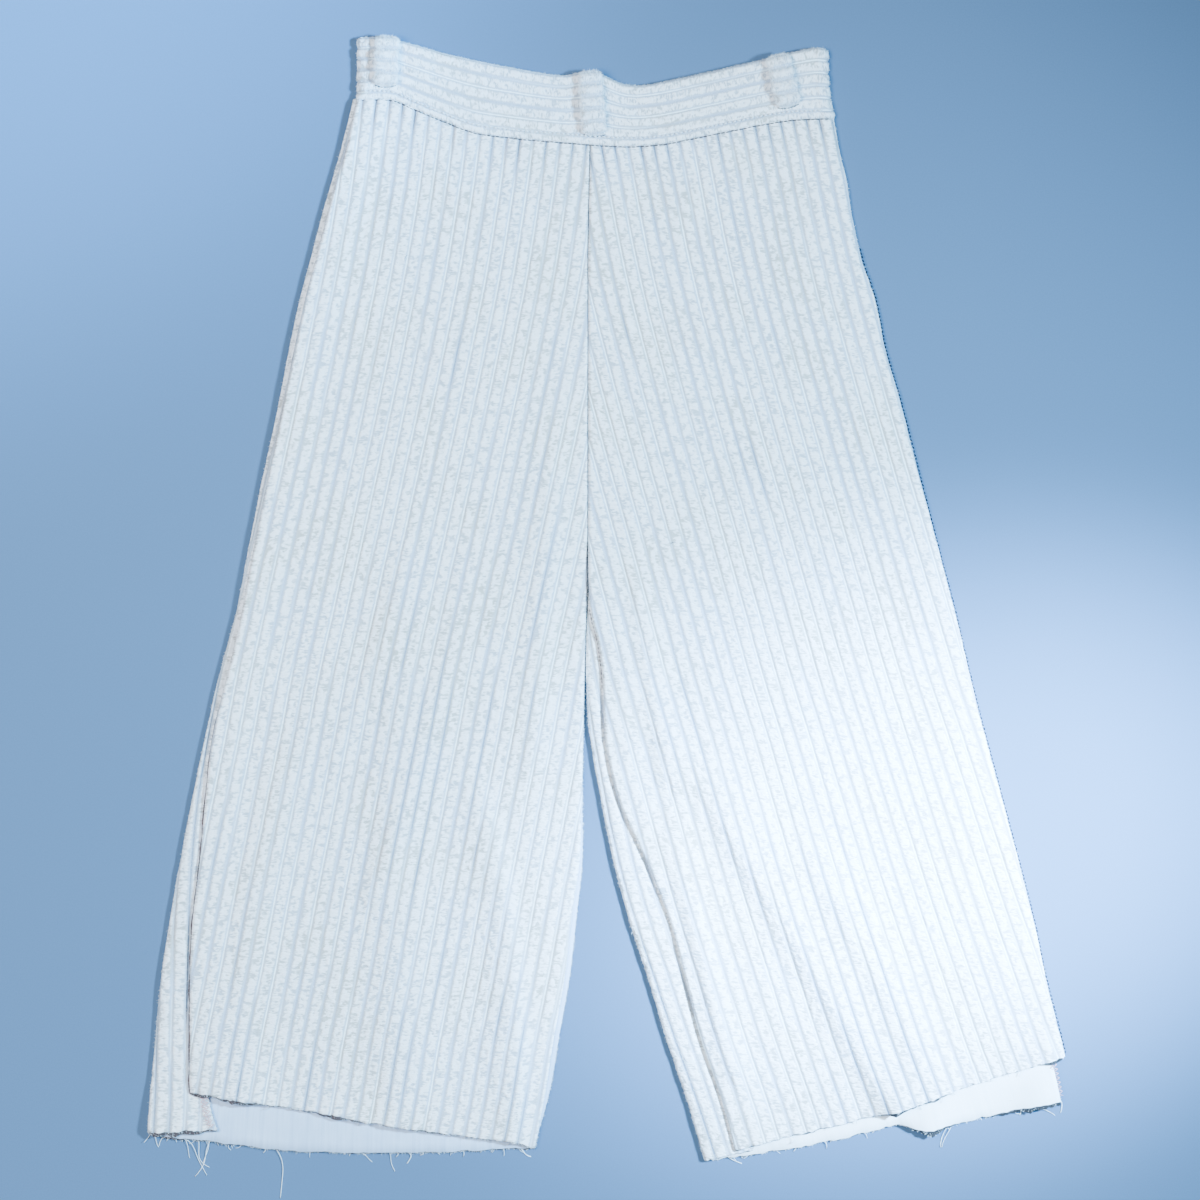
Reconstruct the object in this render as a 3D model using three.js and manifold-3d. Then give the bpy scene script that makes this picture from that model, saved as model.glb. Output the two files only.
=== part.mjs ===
// Culottes of jumbo corduroy lying flat on their back, front side up.
// Millimetres: +X to the wearer's left, +Y towards the waist, +Z up from the surface they lie on.
import * as THREE from "three";
import { mergeVertices } from "three/addons/utils/BufferGeometryUtils.js";
import Module from "manifold-3d";

const wasm = await Module();
wasm.setup();

// Cloth
const GROUND_WALL = 1.6; // the woven ground, without its ribs
const RIB_HEIGHT = 1.7; // a free wale's pile over the ground
const BACK_WALL = 2.4; // a back panel, its pile pressed flat under the garment
const SEAM_GAP = 0.3; // between two pieces at a seam, and between two layers
const FRONT_REST = BACK_WALL + SEAM_GAP; // inside of the front where it lies on the back

// Seam allowances that lie between the layers and lift the front's edge
const ALLOWANCE_WIDTH = 13;
const ALLOWANCE_TOP = 4.9;
const ALLOWANCE_LIFT = ALLOWANCE_TOP + SEAM_GAP - FRONT_REST;
const ALLOWANCE_FADE = 20; // the front comes down again over this width
const CROTCH_Y = 28;

// Folds where the cloth turns round from the back to the front
const FOLD_WALL = 3.2; // thickness of the turned edge, measured level
const FOLD_RADIUS = 9;
const FOLD_EDGE = 1.2; // height of the turned edge's outermost line
const SEAM_RADIUS = 5; // a seamed edge rounds down over this width
const SLOT_HEIGHT = 0.7; // room inside a turned strip

// Waistband: a double strip, its wales running round the waist
const BAND_BACK = 4.2;
const BAND_SLOT = 0.6;
const BAND_FRONT_GROUND = 2.4;
const BAND_END_WALL = 4.5;
const BAND_WALES = 5;
const BAND_HALF_WALE = 0.1; // share of the band's height under its topstitch
const BAND_SCALLOP = 1.5; // how far each wale swells past the folded ends
const BAND_TURNED_END = { left: -152, right: -130, above: 0.46, step: 0.9 };

// Belt loops: folded strips with wales across them
const LOOP_WIDTH = 18.5;
const LOOP_THICKNESS = 4.6;
const LOOP_ARCH = 2.4;
const LOOP_RINGS = 22;
const LOOP_SIDES = 10;
const LOOP_BUMP = 1.1;

// Everything above is cut by prisms that reach past it
const DEEP = -30;
const HIGH = 60;
const FAR = 480;
const REACH = 441;

// A table's rows as objects with named columns.
function table(columns, rows) {
  return rows.map((row) => Object.fromEntries(columns.map((name, i) => [name, row[i]])));
}

// Legs: each edge's place across the garment, a row for each height.
const EDGES = table(
  ["y", "leftFold", "leftSeam", "leftInner", "rightInner", "innerSeam", "rightFold"],
  [
    [-421, -345, -296, -56, 73, 98, 359],
    [-376, -342, -311, -47, 60, 86, 350],
    [-331, -338, -312, -40, 45, 70.5, 340],
    [-286, -334, -312, -32, 31.5, 59, 328.5],
    [-241, -327, -310, -26.5, 17, 47, 319],
    [-196, -319.5, -304.5, -20.5, 5, 29, 307.5],
    [-151, -310.5, -300.5, -19, -4, 9, 295.5],
    [-106, -301, -295.5, -18, -12, -1, 283.5],
    [-61, -291, -285, -17, -15.4, -3, 272],
    [-35, -284, -278.5, -16.5, -15, -6, 266],
    [-10, -277.5, -273, -15.5, -14.4, -12, 260],
    [28, -270, -266, -14.2, -13.8, -13.8, 250],
    [88, -258, -254, -14.2, -13.8, -13.8, 234.5],
    [148, -245, -241.5, -14.2, -13.8, -13.8, 219],
    [186, -238, -234, -14.2, -13.8, -13.8, 208],
    [223, -230, -226, -14.2, -13.8, -13.8, 200.5],
    [253, -222, -218, -14.2, -13.8, -13.8, 190.5],
    [287, -213, -209, -13.7, -13.3, -13.3, 183],
    [313, -205.5, -202, -13.2, -12.8, -12.8, 179],
    [336, -199, -195, -12.7, -12.3, -12.3, 173.5],
    [360, -193, -190, -12.2, -11.8, -11.8, 169.5],
    [386, -187, -184, -11.7, -11.3, -11.3, 166],
  ],
);

// Raw hems and the waistband's two long edges.
const HEIGHTS = ["x", "y"];
const FRONT_HEM_LEFT = table(HEIGHTS, [
  [-312, -369.5],
  [-271, -376.5],
  [-227, -383],
  [-158, -396],
  [-111, -402],
  [-67, -408],
  [-55, -412],
]);
const BACK_HEM_LEFT = table(HEIGHTS, [
  [-343, -401],
  [-305, -406],
  [-246, -413],
  [-193, -415.5],
  [-139, -415],
  [-70, -412.5],
  [-55, -411.5],
]);
const STRIP_HEM_LEFT = table(HEIGHTS, [
  [-343, -400],
  [-283, -397.5],
]);
const FRONT_HEM_RIGHT = table(HEIGHTS, [
  [96, -413],
  [150, -400],
  [190, -390.5],
  [229, -380.5],
  [266, -367],
  [313, -353],
  [343, -343.5],
]);
const BACK_HEM_RIGHT = table(HEIGHTS, [
  [73, -421],
  [107, -417],
  [154, -409],
  [197, -400],
  [218, -394],
  [239, -398.5],
  [257, -395],
  [285, -388],
  [339, -377],
]);
const STRIP_HEM_RIGHT = table(HEIGHTS, [
  [73, -421],
  [112, -414],
]);
const BAND_TOP = table(HEIGHTS, [
  [-188, 420],
  [-163, 418.5],
  [-118, 406.5],
  [-73, 397],
  [-34, 391],
  [-11, 394],
  [11, 385],
  [25, 383.5],
  [47, 387],
  [107, 400.5],
  [154, 411.5],
  [168, 411],
]);
const BAND_BOTTOM = table(HEIGHTS, [
  [-189, 373.5],
  [-161, 373.5],
  [-145, 367],
  [-123, 358],
  [-100, 349.5],
  [-77, 346],
  [-46, 343],
  [10, 339],
  [41, 340.5],
  [72, 346.5],
  [133, 358],
  [170, 360],
]);
const BAND_ENDS = table(
  ["y", "left", "right"],
  [
    [355, -188.5, 171],
    [380, -186.5, 166],
    [420, -186, 164.5],
  ],
);

// Wales: where one of them runs, and how far apart they lie, a row for each height.
const WALE_COLUMNS = ["y", "x", "spacing"];
const LEFT_WALES = table(WALE_COLUMNS, [
  [-414, -243.5, 10.3],
  [-76, -178, 10.2],
  [223, -114, 10.2],
  [298, -101, 10.1],
  [360, -93, 10.1],
]);
const RIGHT_WALES = table(WALE_COLUMNS, [
  [-392, 267, 11],
  [-226, 210, 10.7],
  [0, 141, 10.2],
  [223, 79, 10],
  [360, 51, 9.8],
]);
const LEFT_STRIP_WALES = table(WALE_COLUMNS, [
  [-400, -316.5, 11.4],
  [-150, -306, 10.6],
  [100, -252, 10.2],
  [360, -189, 10.2],
]);
const RIGHT_STRIP_WALES = table(WALE_COLUMNS, [
  [-420, 92, 10.6],
  [-364, 73.5, 10.6],
  [-198, 19.5, 10.4],
  [0, -18, 10.2],
]);

// The right back draws in below the front's hem, and the left back shows past its leg's inner edge.
const BACK_CORNER = { y: -338, length: 8, inset: 7 };
const BACK_PEEK = { y: -120, length: 150, endY: -412, endLength: 60, width: 3.5 };

// Folds that stay raised in the front: a soft ridge from top to bottom through a middle place.
const FOLD_COLUMNS = ["topX", "topY", "midX", "midY", "endX", "endY", "height", "leftWidth", "rightWidth"];
const LEFT_FOLDS = table(FOLD_COLUMNS, [
  [-164, -2, -246, -160, -280, -372, 2.6, 14, 18],
  [-140, 81, -158, -120, -154, -400, 3.4, 18, 24],
  [-116, -98, -78, -222, -66, -410, 4.2, 20, 8],
  [-28, 186, -46, 28, -56, -121, 2.4, 12, 10],
  [-144, 336, -108, 300, -73, 280, 1.4, 10, 14],
  [-50, 332, -28, 287, -16, 250, 1.4, 10, 8],
]);
const RIGHT_FOLDS = table(FOLD_COLUMNS, [
  [4, 118, 24, -92, 79, -350, 3.2, 7, 12],
  [28, -69, 118, -215, 220, -390, 4.4, 16, 26],
  [126, -151, 190, -256, 248, -376, 3.4, 12, 18],
  [145, 336, 100, 312, 55, 295, 1.4, 12, 10],
  [115, 208, 68, 186, 10, 170, 1.8, 14, 18],
  [137, 88, 86, 74, 40, 51, 1.2, 12, 16],
]);
const FOLD_STEPS = 8;
const LOOSENESS = 0.7; // how far the front stands off the back where it has no fold

const BELT_LOOPS = table(
  ["name", "topX", "topY", "endX", "endY"],
  [
    ["belt_loop_left", -163.5, 422, -165.5, 383.5],
    ["belt_loop_centre", -13, 396.5, -9, 346.5],
    ["belt_loop_right", 127, 408, 136, 368],
  ],
);

// Sampling
const ROW_STEP = 50; // rows along the legs
const OUTLINE_STEP = 15; // points along a leg's cut edge
const HEM_STEP = 9; // points along a hem or the waistband's seam
const WALE_SHAPE = table(
  ["across", "height"],
  [
    [0, 0],
    [0.28, 1],
    [0.72, 1],
  ],
);
const INSIDE_MARGINS = [0, 4, 9, 15, 24]; // inside columns near each edge
const INSIDE_COLUMNS = 10; // and between them
const INSIDE_SHARE = 0.8; // the plain inside follows this much of a fold
const BAND_COLUMNS = 21;

const CORD_COLOUR = "#d8e0e4";
const WRONG_SIDE_COLOUR = "#ccd8e4";
const CORD_ROUGHNESS = 0.95;

// A smooth curve through two columns of a table, straight on past its ends.
function smooth(rows, at, value) {
  const s = rows.map((row) => row[at]);
  const v = rows.map((row) => row[value]);
  const last = s.length - 1;
  const slopes = s.map((_, i) => {
    const a = Math.max(i - 1, 0);
    const b = Math.min(i + 1, last);
    return (v[b] - v[a]) / (s[b] - s[a]);
  });
  return (x) => {
    if (x <= s[0]) return v[0] + slopes[0] * (x - s[0]);
    if (x >= s[last]) return v[last] + slopes[last] * (x - s[last]);
    const i = s.findIndex((q) => q > x) - 1;
    const h = s[i + 1] - s[i];
    const t = (x - s[i]) / h;
    const rise = t * t * (3 - 2 * t);
    const lead = t * (1 - t) * (1 - t) * h * slopes[i];
    const tail = t * t * (t - 1) * h * slopes[i + 1];
    return v[i] + (v[i + 1] - v[i]) * rise + lead + tail;
  };
}

const clamp01 = (t) => Math.min(Math.max(t, 0), 1);
const ease = (t) => clamp01(t) ** 2 * (3 - 2 * clamp01(t));

// Rounds from 0 at an edge to 1 at a radius inwards, as a quarter circle.
function roll(distance, radius) {
  return Math.sqrt(1 - (1 - clamp01(distance / radius)) ** 2);
}

// Evenly spaced numbers from low to high, both included.
function divided(low, high, count) {
  return Array.from({ length: count + 1 }, (_, i) => low + ((high - low) * i) / count);
}

// The same, no further apart than a step.
const spaced = (low, high, step) => divided(low, high, Math.ceil((high - low) / step));

// A closed mesh's solid, for cutting and joining.
function solid(vertices, triangles) {
  return new wasm.Manifold(
    new wasm.Mesh({
      numProp: 3,
      vertProperties: Float32Array.from(vertices),
      triVerts: Uint32Array.from(triangles),
    }),
  );
}

function solidOfGeometry(geometry) {
  geometry.deleteAttribute("normal");
  geometry.deleteAttribute("uv");
  const merged = mergeVertices(geometry, 1e-4);
  return solid(merged.attributes.position.array, merged.index.array);
}

// An upright prism over an outline of [x, y] points.
function prism(outline, low, high) {
  const shape = new THREE.Shape(outline.map(([x, y]) => new THREE.Vector2(x, y)));
  const geometry = new THREE.ExtrudeGeometry(shape, { depth: high - low, bevelEnabled: false });
  geometry.translate(0, 0, low);
  return solidOfGeometry(geometry);
}

// The block between a surface and a level below it. Rows of points go up in y, and each row up in x.
function blockUnder(surface, level) {
  const rows = surface.length;
  const columns = surface[0].length;
  const count = rows * columns;
  const top = surface.flat();
  const vertices = [...top.flat(), ...top.flatMap(([x, y]) => [x, y, level])];
  const triangles = [];
  const quad = (a, b, c, d) => triangles.push(a, b, c, a, c, d);
  for (let j = 0; j < rows - 1; j++) {
    for (let i = 0; i < columns - 1; i++) {
      const a = j * columns + i;
      const b = a + 1;
      const c = b + columns;
      const d = a + columns;
      quad(a, b, c, d);
      quad(d + count, c + count, b + count, a + count);
    }
  }
  const side = (a, b) => quad(a + count, b + count, b, a);
  for (let i = 0; i < columns - 1; i++) {
    side(i, i + 1);
    side((rows - 1) * columns + i + 1, (rows - 1) * columns + i);
  }
  for (let j = 0; j < rows - 1; j++) {
    side((j + 1) * columns, j * columns);
    side((j + 1) * columns - 1, (j + 2) * columns - 1);
  }
  return solid(vertices, triangles);
}

// The prism between two edges given as x over y.
function between(left, right, low = DEEP, high = HIGH) {
  const ys = spaced(-FAR, FAR, OUTLINE_STEP);
  const up = ys.map((y) => [left(y), y]);
  const down = ys.toReversed().map((y) => [right(y), y]);
  return prism([...up, ...down], low, high);
}

// The prism on one side of an edge given as y over x: above it, or below it.
function beyond(edge, above) {
  const points = spaced(-REACH, REACH, HEM_STEP).map((x) => [x, edge(x)]);
  const end = above ? FAR : -FAR;
  return prism([...points, [REACH, end], [-REACH, end]], DEEP, HIGH);
}

// Height of a table's folds over a place, 0 away from them.
function foldHeights(folds) {
  const paths = folds.map((fold) => {
    const curve = new THREE.QuadraticBezierCurve(
      new THREE.Vector2(fold.topX, fold.topY),
      new THREE.Vector2(
        2 * fold.midX - (fold.topX + fold.endX) / 2,
        2 * fold.midY - (fold.topY + fold.endY) / 2,
      ),
      new THREE.Vector2(fold.endX, fold.endY),
    );
    return { fold, points: curve.getPoints(FOLD_STEPS) };
  });
  return (x, y) => paths.reduce((sum, path) => sum + oneFold(path, x, y), 0);
}

function oneFold({ fold, points }, x, y) {
  let nearest = { distance: Infinity, along: 0, side: 1 };
  for (let i = 0; i < FOLD_STEPS; i++) {
    const a = points[i];
    const b = points[i + 1];
    const dx = b.x - a.x;
    const dy = b.y - a.y;
    const t = clamp01(((x - a.x) * dx + (y - a.y) * dy) / (dx * dx + dy * dy));
    const distance = Math.hypot(x - a.x - dx * t, y - a.y - dy * t);
    if (distance < nearest.distance) {
      const side = Math.sign((x - a.x) * -dy + (y - a.y) * dx);
      nearest = { distance, along: (i + t) / FOLD_STEPS, side };
    }
  }
  const width = nearest.side > 0 ? fold.rightWidth : fold.leftWidth;
  const swell = ease(nearest.along / 0.45);
  return fold.height * swell * Math.exp(-((nearest.distance / width) ** 2));
}

// A layer's outer surface over its wales, sampled along them.
function waleSurface(wales, low, high, reach, height) {
  const line = smooth(wales, "y", "x");
  const spacing = smooth(wales, "y", "spacing");
  const middle = wales[Math.floor(wales.length / 2)];
  const first = Math.floor((reach[0] - middle.x) / middle.spacing);
  const last = Math.ceil((reach[1] - middle.x) / middle.spacing);
  return spaced(low, high, ROW_STEP).map((y) => {
    const row = [];
    for (let wale = first; wale <= last; wale++) {
      for (const { across, height: rib } of WALE_SHAPE) {
        const x = line(y) + (wale + across) * spacing(y);
        row.push([x, y, height(x, y, rib)]);
      }
    }
    return row;
  });
}

// A layer's plain inside, sampled across between its two edges.
function insideSurface(left, right, low, high, height) {
  return spaced(low, high, ROW_STEP).map((y) => {
    const a = left(y);
    const b = right(y);
    const edge = INSIDE_MARGINS.at(-1);
    const middle = divided(a + edge, b - edge, INSIDE_COLUMNS).slice(1, -1);
    const xs = [
      a - FOLD_RADIUS,
      ...INSIDE_MARGINS.map((margin) => a + margin),
      ...middle,
      ...INSIDE_MARGINS.toReversed().map((margin) => b - margin),
      b + FOLD_RADIUS,
    ];
    return xs.map((x) => [x, y, height(x, y, INSIDE_SHARE)]);
  });
}

const edge = Object.fromEntries(Object.keys(EDGES[0]).map((name) => [name, smooth(EDGES, "y", name)]));
const bandTop = smooth(BAND_TOP, "x", "y");
const bandBottom = smooth(BAND_BOTTOM, "x", "y");
const offset = (curve, shift) => (at) => curve(at) + shift;
const bandSeam = offset(bandBottom, -SEAM_GAP);

// How much a seam allowance lifts the front, by the distance from the seam.
const allowanceLift = (distance) =>
  ALLOWANCE_LIFT * (1 - ease((distance - ALLOWANCE_WIDTH - 2) / ALLOWANCE_FADE));

// The front rises to the waistband's height just under it.
const waistLift = (x, y) => 1.9 * Math.exp(-Math.max(bandBottom(x) - y, 0) / 34);

// The left front's underside over the floor, with a share of its folds.
const leftFolds = foldHeights(LEFT_FOLDS);
function leftInside(x, y, share = 1) {
  const fromInner = edge.leftInner(y) - x;
  const loose = share * (leftFolds(x, y) + LOOSENESS * ease((fromInner - 10) / 40));
  const atSeam = allowanceLift(x - edge.leftSeam(y));
  const atWaist = waistLift(x, y);
  return FRONT_REST + Math.max(atSeam, atWaist, 0.3) + loose * ease(fromInner / 22);
}

// The right front's underside over the floor, with a share of its folds.
const rightFolds = foldHeights(RIGHT_FOLDS);
function rightInside(x, y, share = 1) {
  const fromSeam = x - edge.innerSeam(y);
  const fromFold = edge.rightFold(y) - x;
  const loose = share * (rightFolds(x, y) + LOOSENESS * ease((fromFold - 10) / 40));
  const below = ease((CROTCH_Y + 30 - y) / 30);
  const atSeam = allowanceLift(fromSeam) * below;
  return FRONT_REST + Math.max(atSeam, waistLift(x, y), 0.3) + loose * ease(fromFold / 22);
}

// Outer surface over an inside: ground, ribs, and edges that round down.
function outer(inside, rib, round) {
  return inside + GROUND_WALL * 0.85 + (GROUND_WALL * 0.15 + RIB_HEIGHT * rib) * round;
}

function frontLeft() {
  const skin = waleSurface(LEFT_WALES, -430, 390, [-400, 110], (x, y, rib) => {
    const round = roll(x - edge.leftSeam(y), SEAM_RADIUS) * roll(edge.leftInner(y) - x, SEAM_RADIUS);
    return outer(leftInside(x, y), rib, round);
  });
  const lining = insideSurface(edge.leftSeam, edge.leftInner, -440, 400, leftInside);
  return blockUnder(skin, DEEP / 2)
    .subtract(blockUnder(lining, DEEP))
    .intersect(between(edge.leftSeam, edge.leftInner))
    .intersect(beyond(smooth(FRONT_HEM_LEFT, "x", "y"), true))
    .intersect(beyond(bandSeam, false));
}

function frontRight() {
  const skin = waleSurface(RIGHT_WALES, -430, 390, [-170, 320], (x, y, rib) => {
    const seamed = roll(x - edge.innerSeam(y), SEAM_RADIUS);
    const turned = roll(edge.rightFold(y) - x, FOLD_RADIUS);
    const full = outer(rightInside(x, y), rib, seamed);
    return FOLD_EDGE + (full - FOLD_EDGE) * turned;
  });
  const turnedInside = offset(edge.rightFold, -FOLD_WALL);
  const lining = blockUnder(
    insideSurface(edge.innerSeam, turnedInside, -440, 400, rightInside),
    DEEP,
  ).intersect(between(offset(edge.innerSeam, -FOLD_RADIUS), turnedInside, DEEP - 1, HIGH));
  return blockUnder(skin, 0)
    .subtract(lining)
    .intersect(between(edge.innerSeam, edge.rightFold))
    .intersect(beyond(smooth(FRONT_HEM_RIGHT, "x", "y"), true))
    .intersect(beyond(bandSeam, false));
}

// A strip of a back panel that turns round an edge and comes up beside the front, with its allowance.
function turnedStrip({ wales, reach, top, fold, seam, hem }) {
  const inside = FRONT_REST + SLOT_HEIGHT - SEAM_GAP;
  const skin = waleSurface(wales, -430, top, reach, (x, y, rib) => {
    const full = inside + GROUND_WALL + RIB_HEIGHT * rib;
    return FOLD_EDGE + (full - FOLD_EDGE) * roll(x - fold(y), FOLD_RADIUS);
  });
  const far = offset(seam, 3 * ALLOWANCE_WIDTH);
  return {
    body: blockUnder(skin, 0)
      .intersect(between(fold, offset(seam, ALLOWANCE_WIDTH)))
      .subtract(between(offset(seam, -SEAM_GAP), far, ALLOWANCE_TOP, HIGH + 1))
      .intersect(beyond(hem, true)),
    slot: between(offset(fold, FOLD_WALL), far, BACK_WALL, inside),
  };
}

function backLeft() {
  const strip = turnedStrip({
    wales: LEFT_STRIP_WALES,
    reach: [-400, -150],
    top: 390,
    fold: edge.leftFold,
    seam: edge.leftSeam,
    hem: smooth(STRIP_HEM_LEFT, "x", "y"),
  });
  const { y: topY, length, endY, endLength, width } = BACK_PEEK;
  const peek = (y) =>
    edge.leftInner(y) + width * ease((topY - y) / length) * ease((y - endY) / endLength);
  const flat = between(edge.leftFold, peek, 0, BACK_WALL).intersect(
    beyond(smooth(BACK_HEM_LEFT, "x", "y"), true),
  );
  return flat.add(strip.body).subtract(strip.slot).intersect(beyond(bandSeam, false));
}

function backRight() {
  const strip = turnedStrip({
    wales: RIGHT_STRIP_WALES,
    reach: [-100, 180],
    top: CROTCH_Y - 10,
    fold: edge.rightInner,
    seam: edge.innerSeam,
    hem: smooth(STRIP_HEM_RIGHT, "x", "y"),
  });
  const corner = (y) => BACK_CORNER.inset * ease((BACK_CORNER.y - y) / BACK_CORNER.length);
  const beside = (y) => edge.rightFold(y) - FOLD_WALL - SEAM_GAP - corner(y);
  const flat = between(edge.rightInner, beside, 0, BACK_WALL).intersect(
    beyond(smooth(BACK_HEM_RIGHT, "x", "y"), true),
  );
  return flat.add(strip.body).subtract(strip.slot).intersect(beyond(bandSeam, false));
}

// The places across the band's height, and each one's rib height.
function bandRows() {
  const rows = [
    { t: -0.02, rib: 0.1 },
    { t: BAND_HALF_WALE / 2, rib: 0.45 },
  ];
  const wale = (1 - BAND_HALF_WALE) / BAND_WALES;
  for (let i = 0; i < BAND_WALES; i++) {
    for (const { across, height } of WALE_SHAPE) {
      rows.push({ t: BAND_HALF_WALE + (i + across) * wale, rib: height });
    }
  }
  rows.push({ t: 1, rib: 0 });
  return rows;
}

function waistband() {
  const endLeft = smooth(BAND_ENDS, "y", "left");
  const endRight = smooth(BAND_ENDS, "y", "right");
  const ground = BAND_BACK + BAND_SLOT + BAND_FRONT_GROUND;
  const turned = BAND_TURNED_END;
  const inner = spaced(BAND_END_WALL * 3, 353 - BAND_END_WALL * 3, 353 / BAND_COLUMNS);
  const corners = [turned.right - endLeft(400) - 0.6, turned.right - endLeft(400)];
  const across = [0, 2, 5, 9, ...inner, ...corners, 344, 348, 351, 353].toSorted((a, b) => a - b);
  const surface = bandRows().map(({ t, rib }) =>
    across.map((u) => {
      const share = u / 353;
      const guess = endLeft(390) + share * (endRight(390) - endLeft(390));
      const height = bandBottom(guess) + t * (bandTop(guess) - bandBottom(guess));
      const left = endLeft(height) - BAND_SCALLOP * rib;
      const right = endRight(height) + BAND_SCALLOP * rib;
      const x = left + share * (right - left);
      const y = bandBottom(x) + t * (bandTop(x) - bandBottom(x));
      const within = u < corners[1] && x > turned.left && t > turned.above && t < 1;
      const full = ground + RIB_HEIGHT * rib + (within ? turned.step : 0);
      const ends = roll(Math.min(u, 353 - u), FOLD_RADIUS);
      const folded = 0.75 + 0.25 * roll(1 - t, 0.06);
      return [x, y, FOLD_EDGE + (full * folded - FOLD_EDGE) * ends];
    }),
  );
  const slot = between(
    offset(endLeft, BAND_END_WALL),
    offset(endRight, -BAND_END_WALL),
    BAND_BACK,
    BAND_BACK + BAND_SLOT,
  );
  return blockUnder(surface, 0).subtract(slot).intersect(beyond(bandBottom, true));
}

// A belt loop: rings along its length, thick over each wale and arched off the band.
function beltLoop({ topX, topY, endX, endY }) {
  const rest = BAND_BACK + BAND_SLOT + BAND_FRONT_GROUND + RIB_HEIGHT + SEAM_GAP;
  const length = Math.hypot(endX - topX, endY - topY);
  const wales = Math.round(length / 9);
  const along = new THREE.Vector2(endX - topX, endY - topY).normalize();
  const vertices = [];
  for (let ring = 0; ring <= LOOP_RINGS; ring++) {
    const t = ring / LOOP_RINGS;
    const tip = roll(Math.min(t, 1 - t) + 0.012, 0.09);
    const bump = Math.abs(Math.sin(Math.PI * wales * t));
    const half = (LOOP_WIDTH / 2) * (0.55 + 0.45 * tip) + 0.5 * bump;
    const thick = LOOP_THICKNESS * (0.35 + 0.65 * tip) + LOOP_BUMP * bump * tip;
    const under = rest + LOOP_ARCH * Math.sin(Math.PI * t) ** 2;
    const cx = topX + (endX - topX) * t;
    const cy = topY + (endY - topY) * t;
    for (let k = 0; k < LOOP_SIDES; k++) {
      const angle = (2 * Math.PI * k) / LOOP_SIDES;
      const c = Math.sign(Math.cos(angle)) * Math.abs(Math.cos(angle)) ** 0.75;
      const s = Math.sign(Math.sin(angle)) * Math.abs(Math.sin(angle)) ** 0.75;
      const sideways = half * c;
      const up = under + (thick / 2) * (1 + s);
      vertices.push(cx - along.y * sideways, cy + along.x * sideways, up);
    }
  }
  const triangles = [];
  for (let ring = 0; ring < LOOP_RINGS; ring++) {
    for (let k = 0; k < LOOP_SIDES; k++) {
      const a = ring * LOOP_SIDES + k;
      const b = ring * LOOP_SIDES + ((k + 1) % LOOP_SIDES);
      triangles.push(a, b, b + LOOP_SIDES, a, b + LOOP_SIDES, a + LOOP_SIDES);
    }
  }
  const end = LOOP_RINGS * LOOP_SIDES;
  for (let k = 1; k < LOOP_SIDES - 1; k++) {
    triangles.push(0, k + 1, k, end, end + k, end + k + 1);
  }
  return solid(vertices, triangles);
}

const cord = new THREE.MeshStandardMaterial({ color: CORD_COLOUR, roughness: CORD_ROUGHNESS });
const wrongSide = new THREE.MeshStandardMaterial({ color: WRONG_SIDE_COLOUR, roughness: CORD_ROUGHNESS });

function piece(name, body, material) {
  const made = body.getMesh();
  const geometry = new THREE.BufferGeometry();
  geometry.setAttribute("position", new THREE.BufferAttribute(made.vertProperties, 3));
  geometry.setIndex(new THREE.BufferAttribute(made.triVerts, 1));
  geometry.computeVertexNormals();
  const mesh = new THREE.Mesh(geometry, material);
  mesh.name = name;
  return mesh;
}

const culottes = new THREE.Group();
culottes.name = "culottes";
culottes.add(piece("back_left", backLeft(), wrongSide));
culottes.add(piece("back_right", backRight(), wrongSide));
culottes.add(piece("front_left", frontLeft(), cord));
culottes.add(piece("front_right", frontRight(), cord));
culottes.add(piece("waistband", waistband(), cord));
for (const loop of BELT_LOOPS) culottes.add(piece(loop.name, beltLoop(loop), cord));

// The origin is the middle of the footprint, on the surface the garment lies on.
const size = new THREE.Box3().setFromObject(culottes);
culottes.position.set(-(size.min.x + size.max.x) / 2, -(size.min.y + size.max.y) / 2, 0);

export default culottes;
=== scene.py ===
"""Looks of a pair of culottes in jumbo corduroy that lie flat with their front up.

The plan is in millimetres: +X to the wearer's left, +Y towards the waist and +Z up from the
floor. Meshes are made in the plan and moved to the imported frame, in metres, by `to_frame`.
"""

from __future__ import annotations

import logging
import math
from abc import ABC, abstractmethod
from dataclasses import dataclass, field
from enum import Enum
from typing import Callable, Union

import bpy
import numpy as np
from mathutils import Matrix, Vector


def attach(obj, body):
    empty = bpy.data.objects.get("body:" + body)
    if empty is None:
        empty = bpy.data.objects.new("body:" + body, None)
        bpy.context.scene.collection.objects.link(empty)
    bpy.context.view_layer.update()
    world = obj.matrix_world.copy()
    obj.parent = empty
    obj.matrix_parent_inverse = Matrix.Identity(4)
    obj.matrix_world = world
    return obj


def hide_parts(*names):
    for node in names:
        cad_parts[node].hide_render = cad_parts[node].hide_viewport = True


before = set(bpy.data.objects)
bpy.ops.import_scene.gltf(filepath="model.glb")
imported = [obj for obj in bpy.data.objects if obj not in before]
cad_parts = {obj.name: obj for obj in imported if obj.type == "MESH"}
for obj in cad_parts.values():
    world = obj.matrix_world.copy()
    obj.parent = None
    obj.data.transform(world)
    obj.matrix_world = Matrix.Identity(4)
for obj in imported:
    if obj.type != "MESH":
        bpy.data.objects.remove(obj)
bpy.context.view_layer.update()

BODY = "root"

MM = 0.001
PLAN_SHIFT = np.array([0.399, -0.684, 0.0])
QUARTER = math.pi / 2
# The least height over the floor, and the step of tone from strand to strand.
CLEAR = 0.05
TONE_STEP = 0.618

Field = np.ndarray
Number = Union[float, np.ndarray]
Socket = bpy.types.NodeSocket
Tree = bpy.types.NodeTree
Material = bpy.types.Material
Piece = bpy.types.Object
Value = Union[float, Socket]
Colour = tuple[float, float, float]

log = logging.getLogger("culottes")


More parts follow.
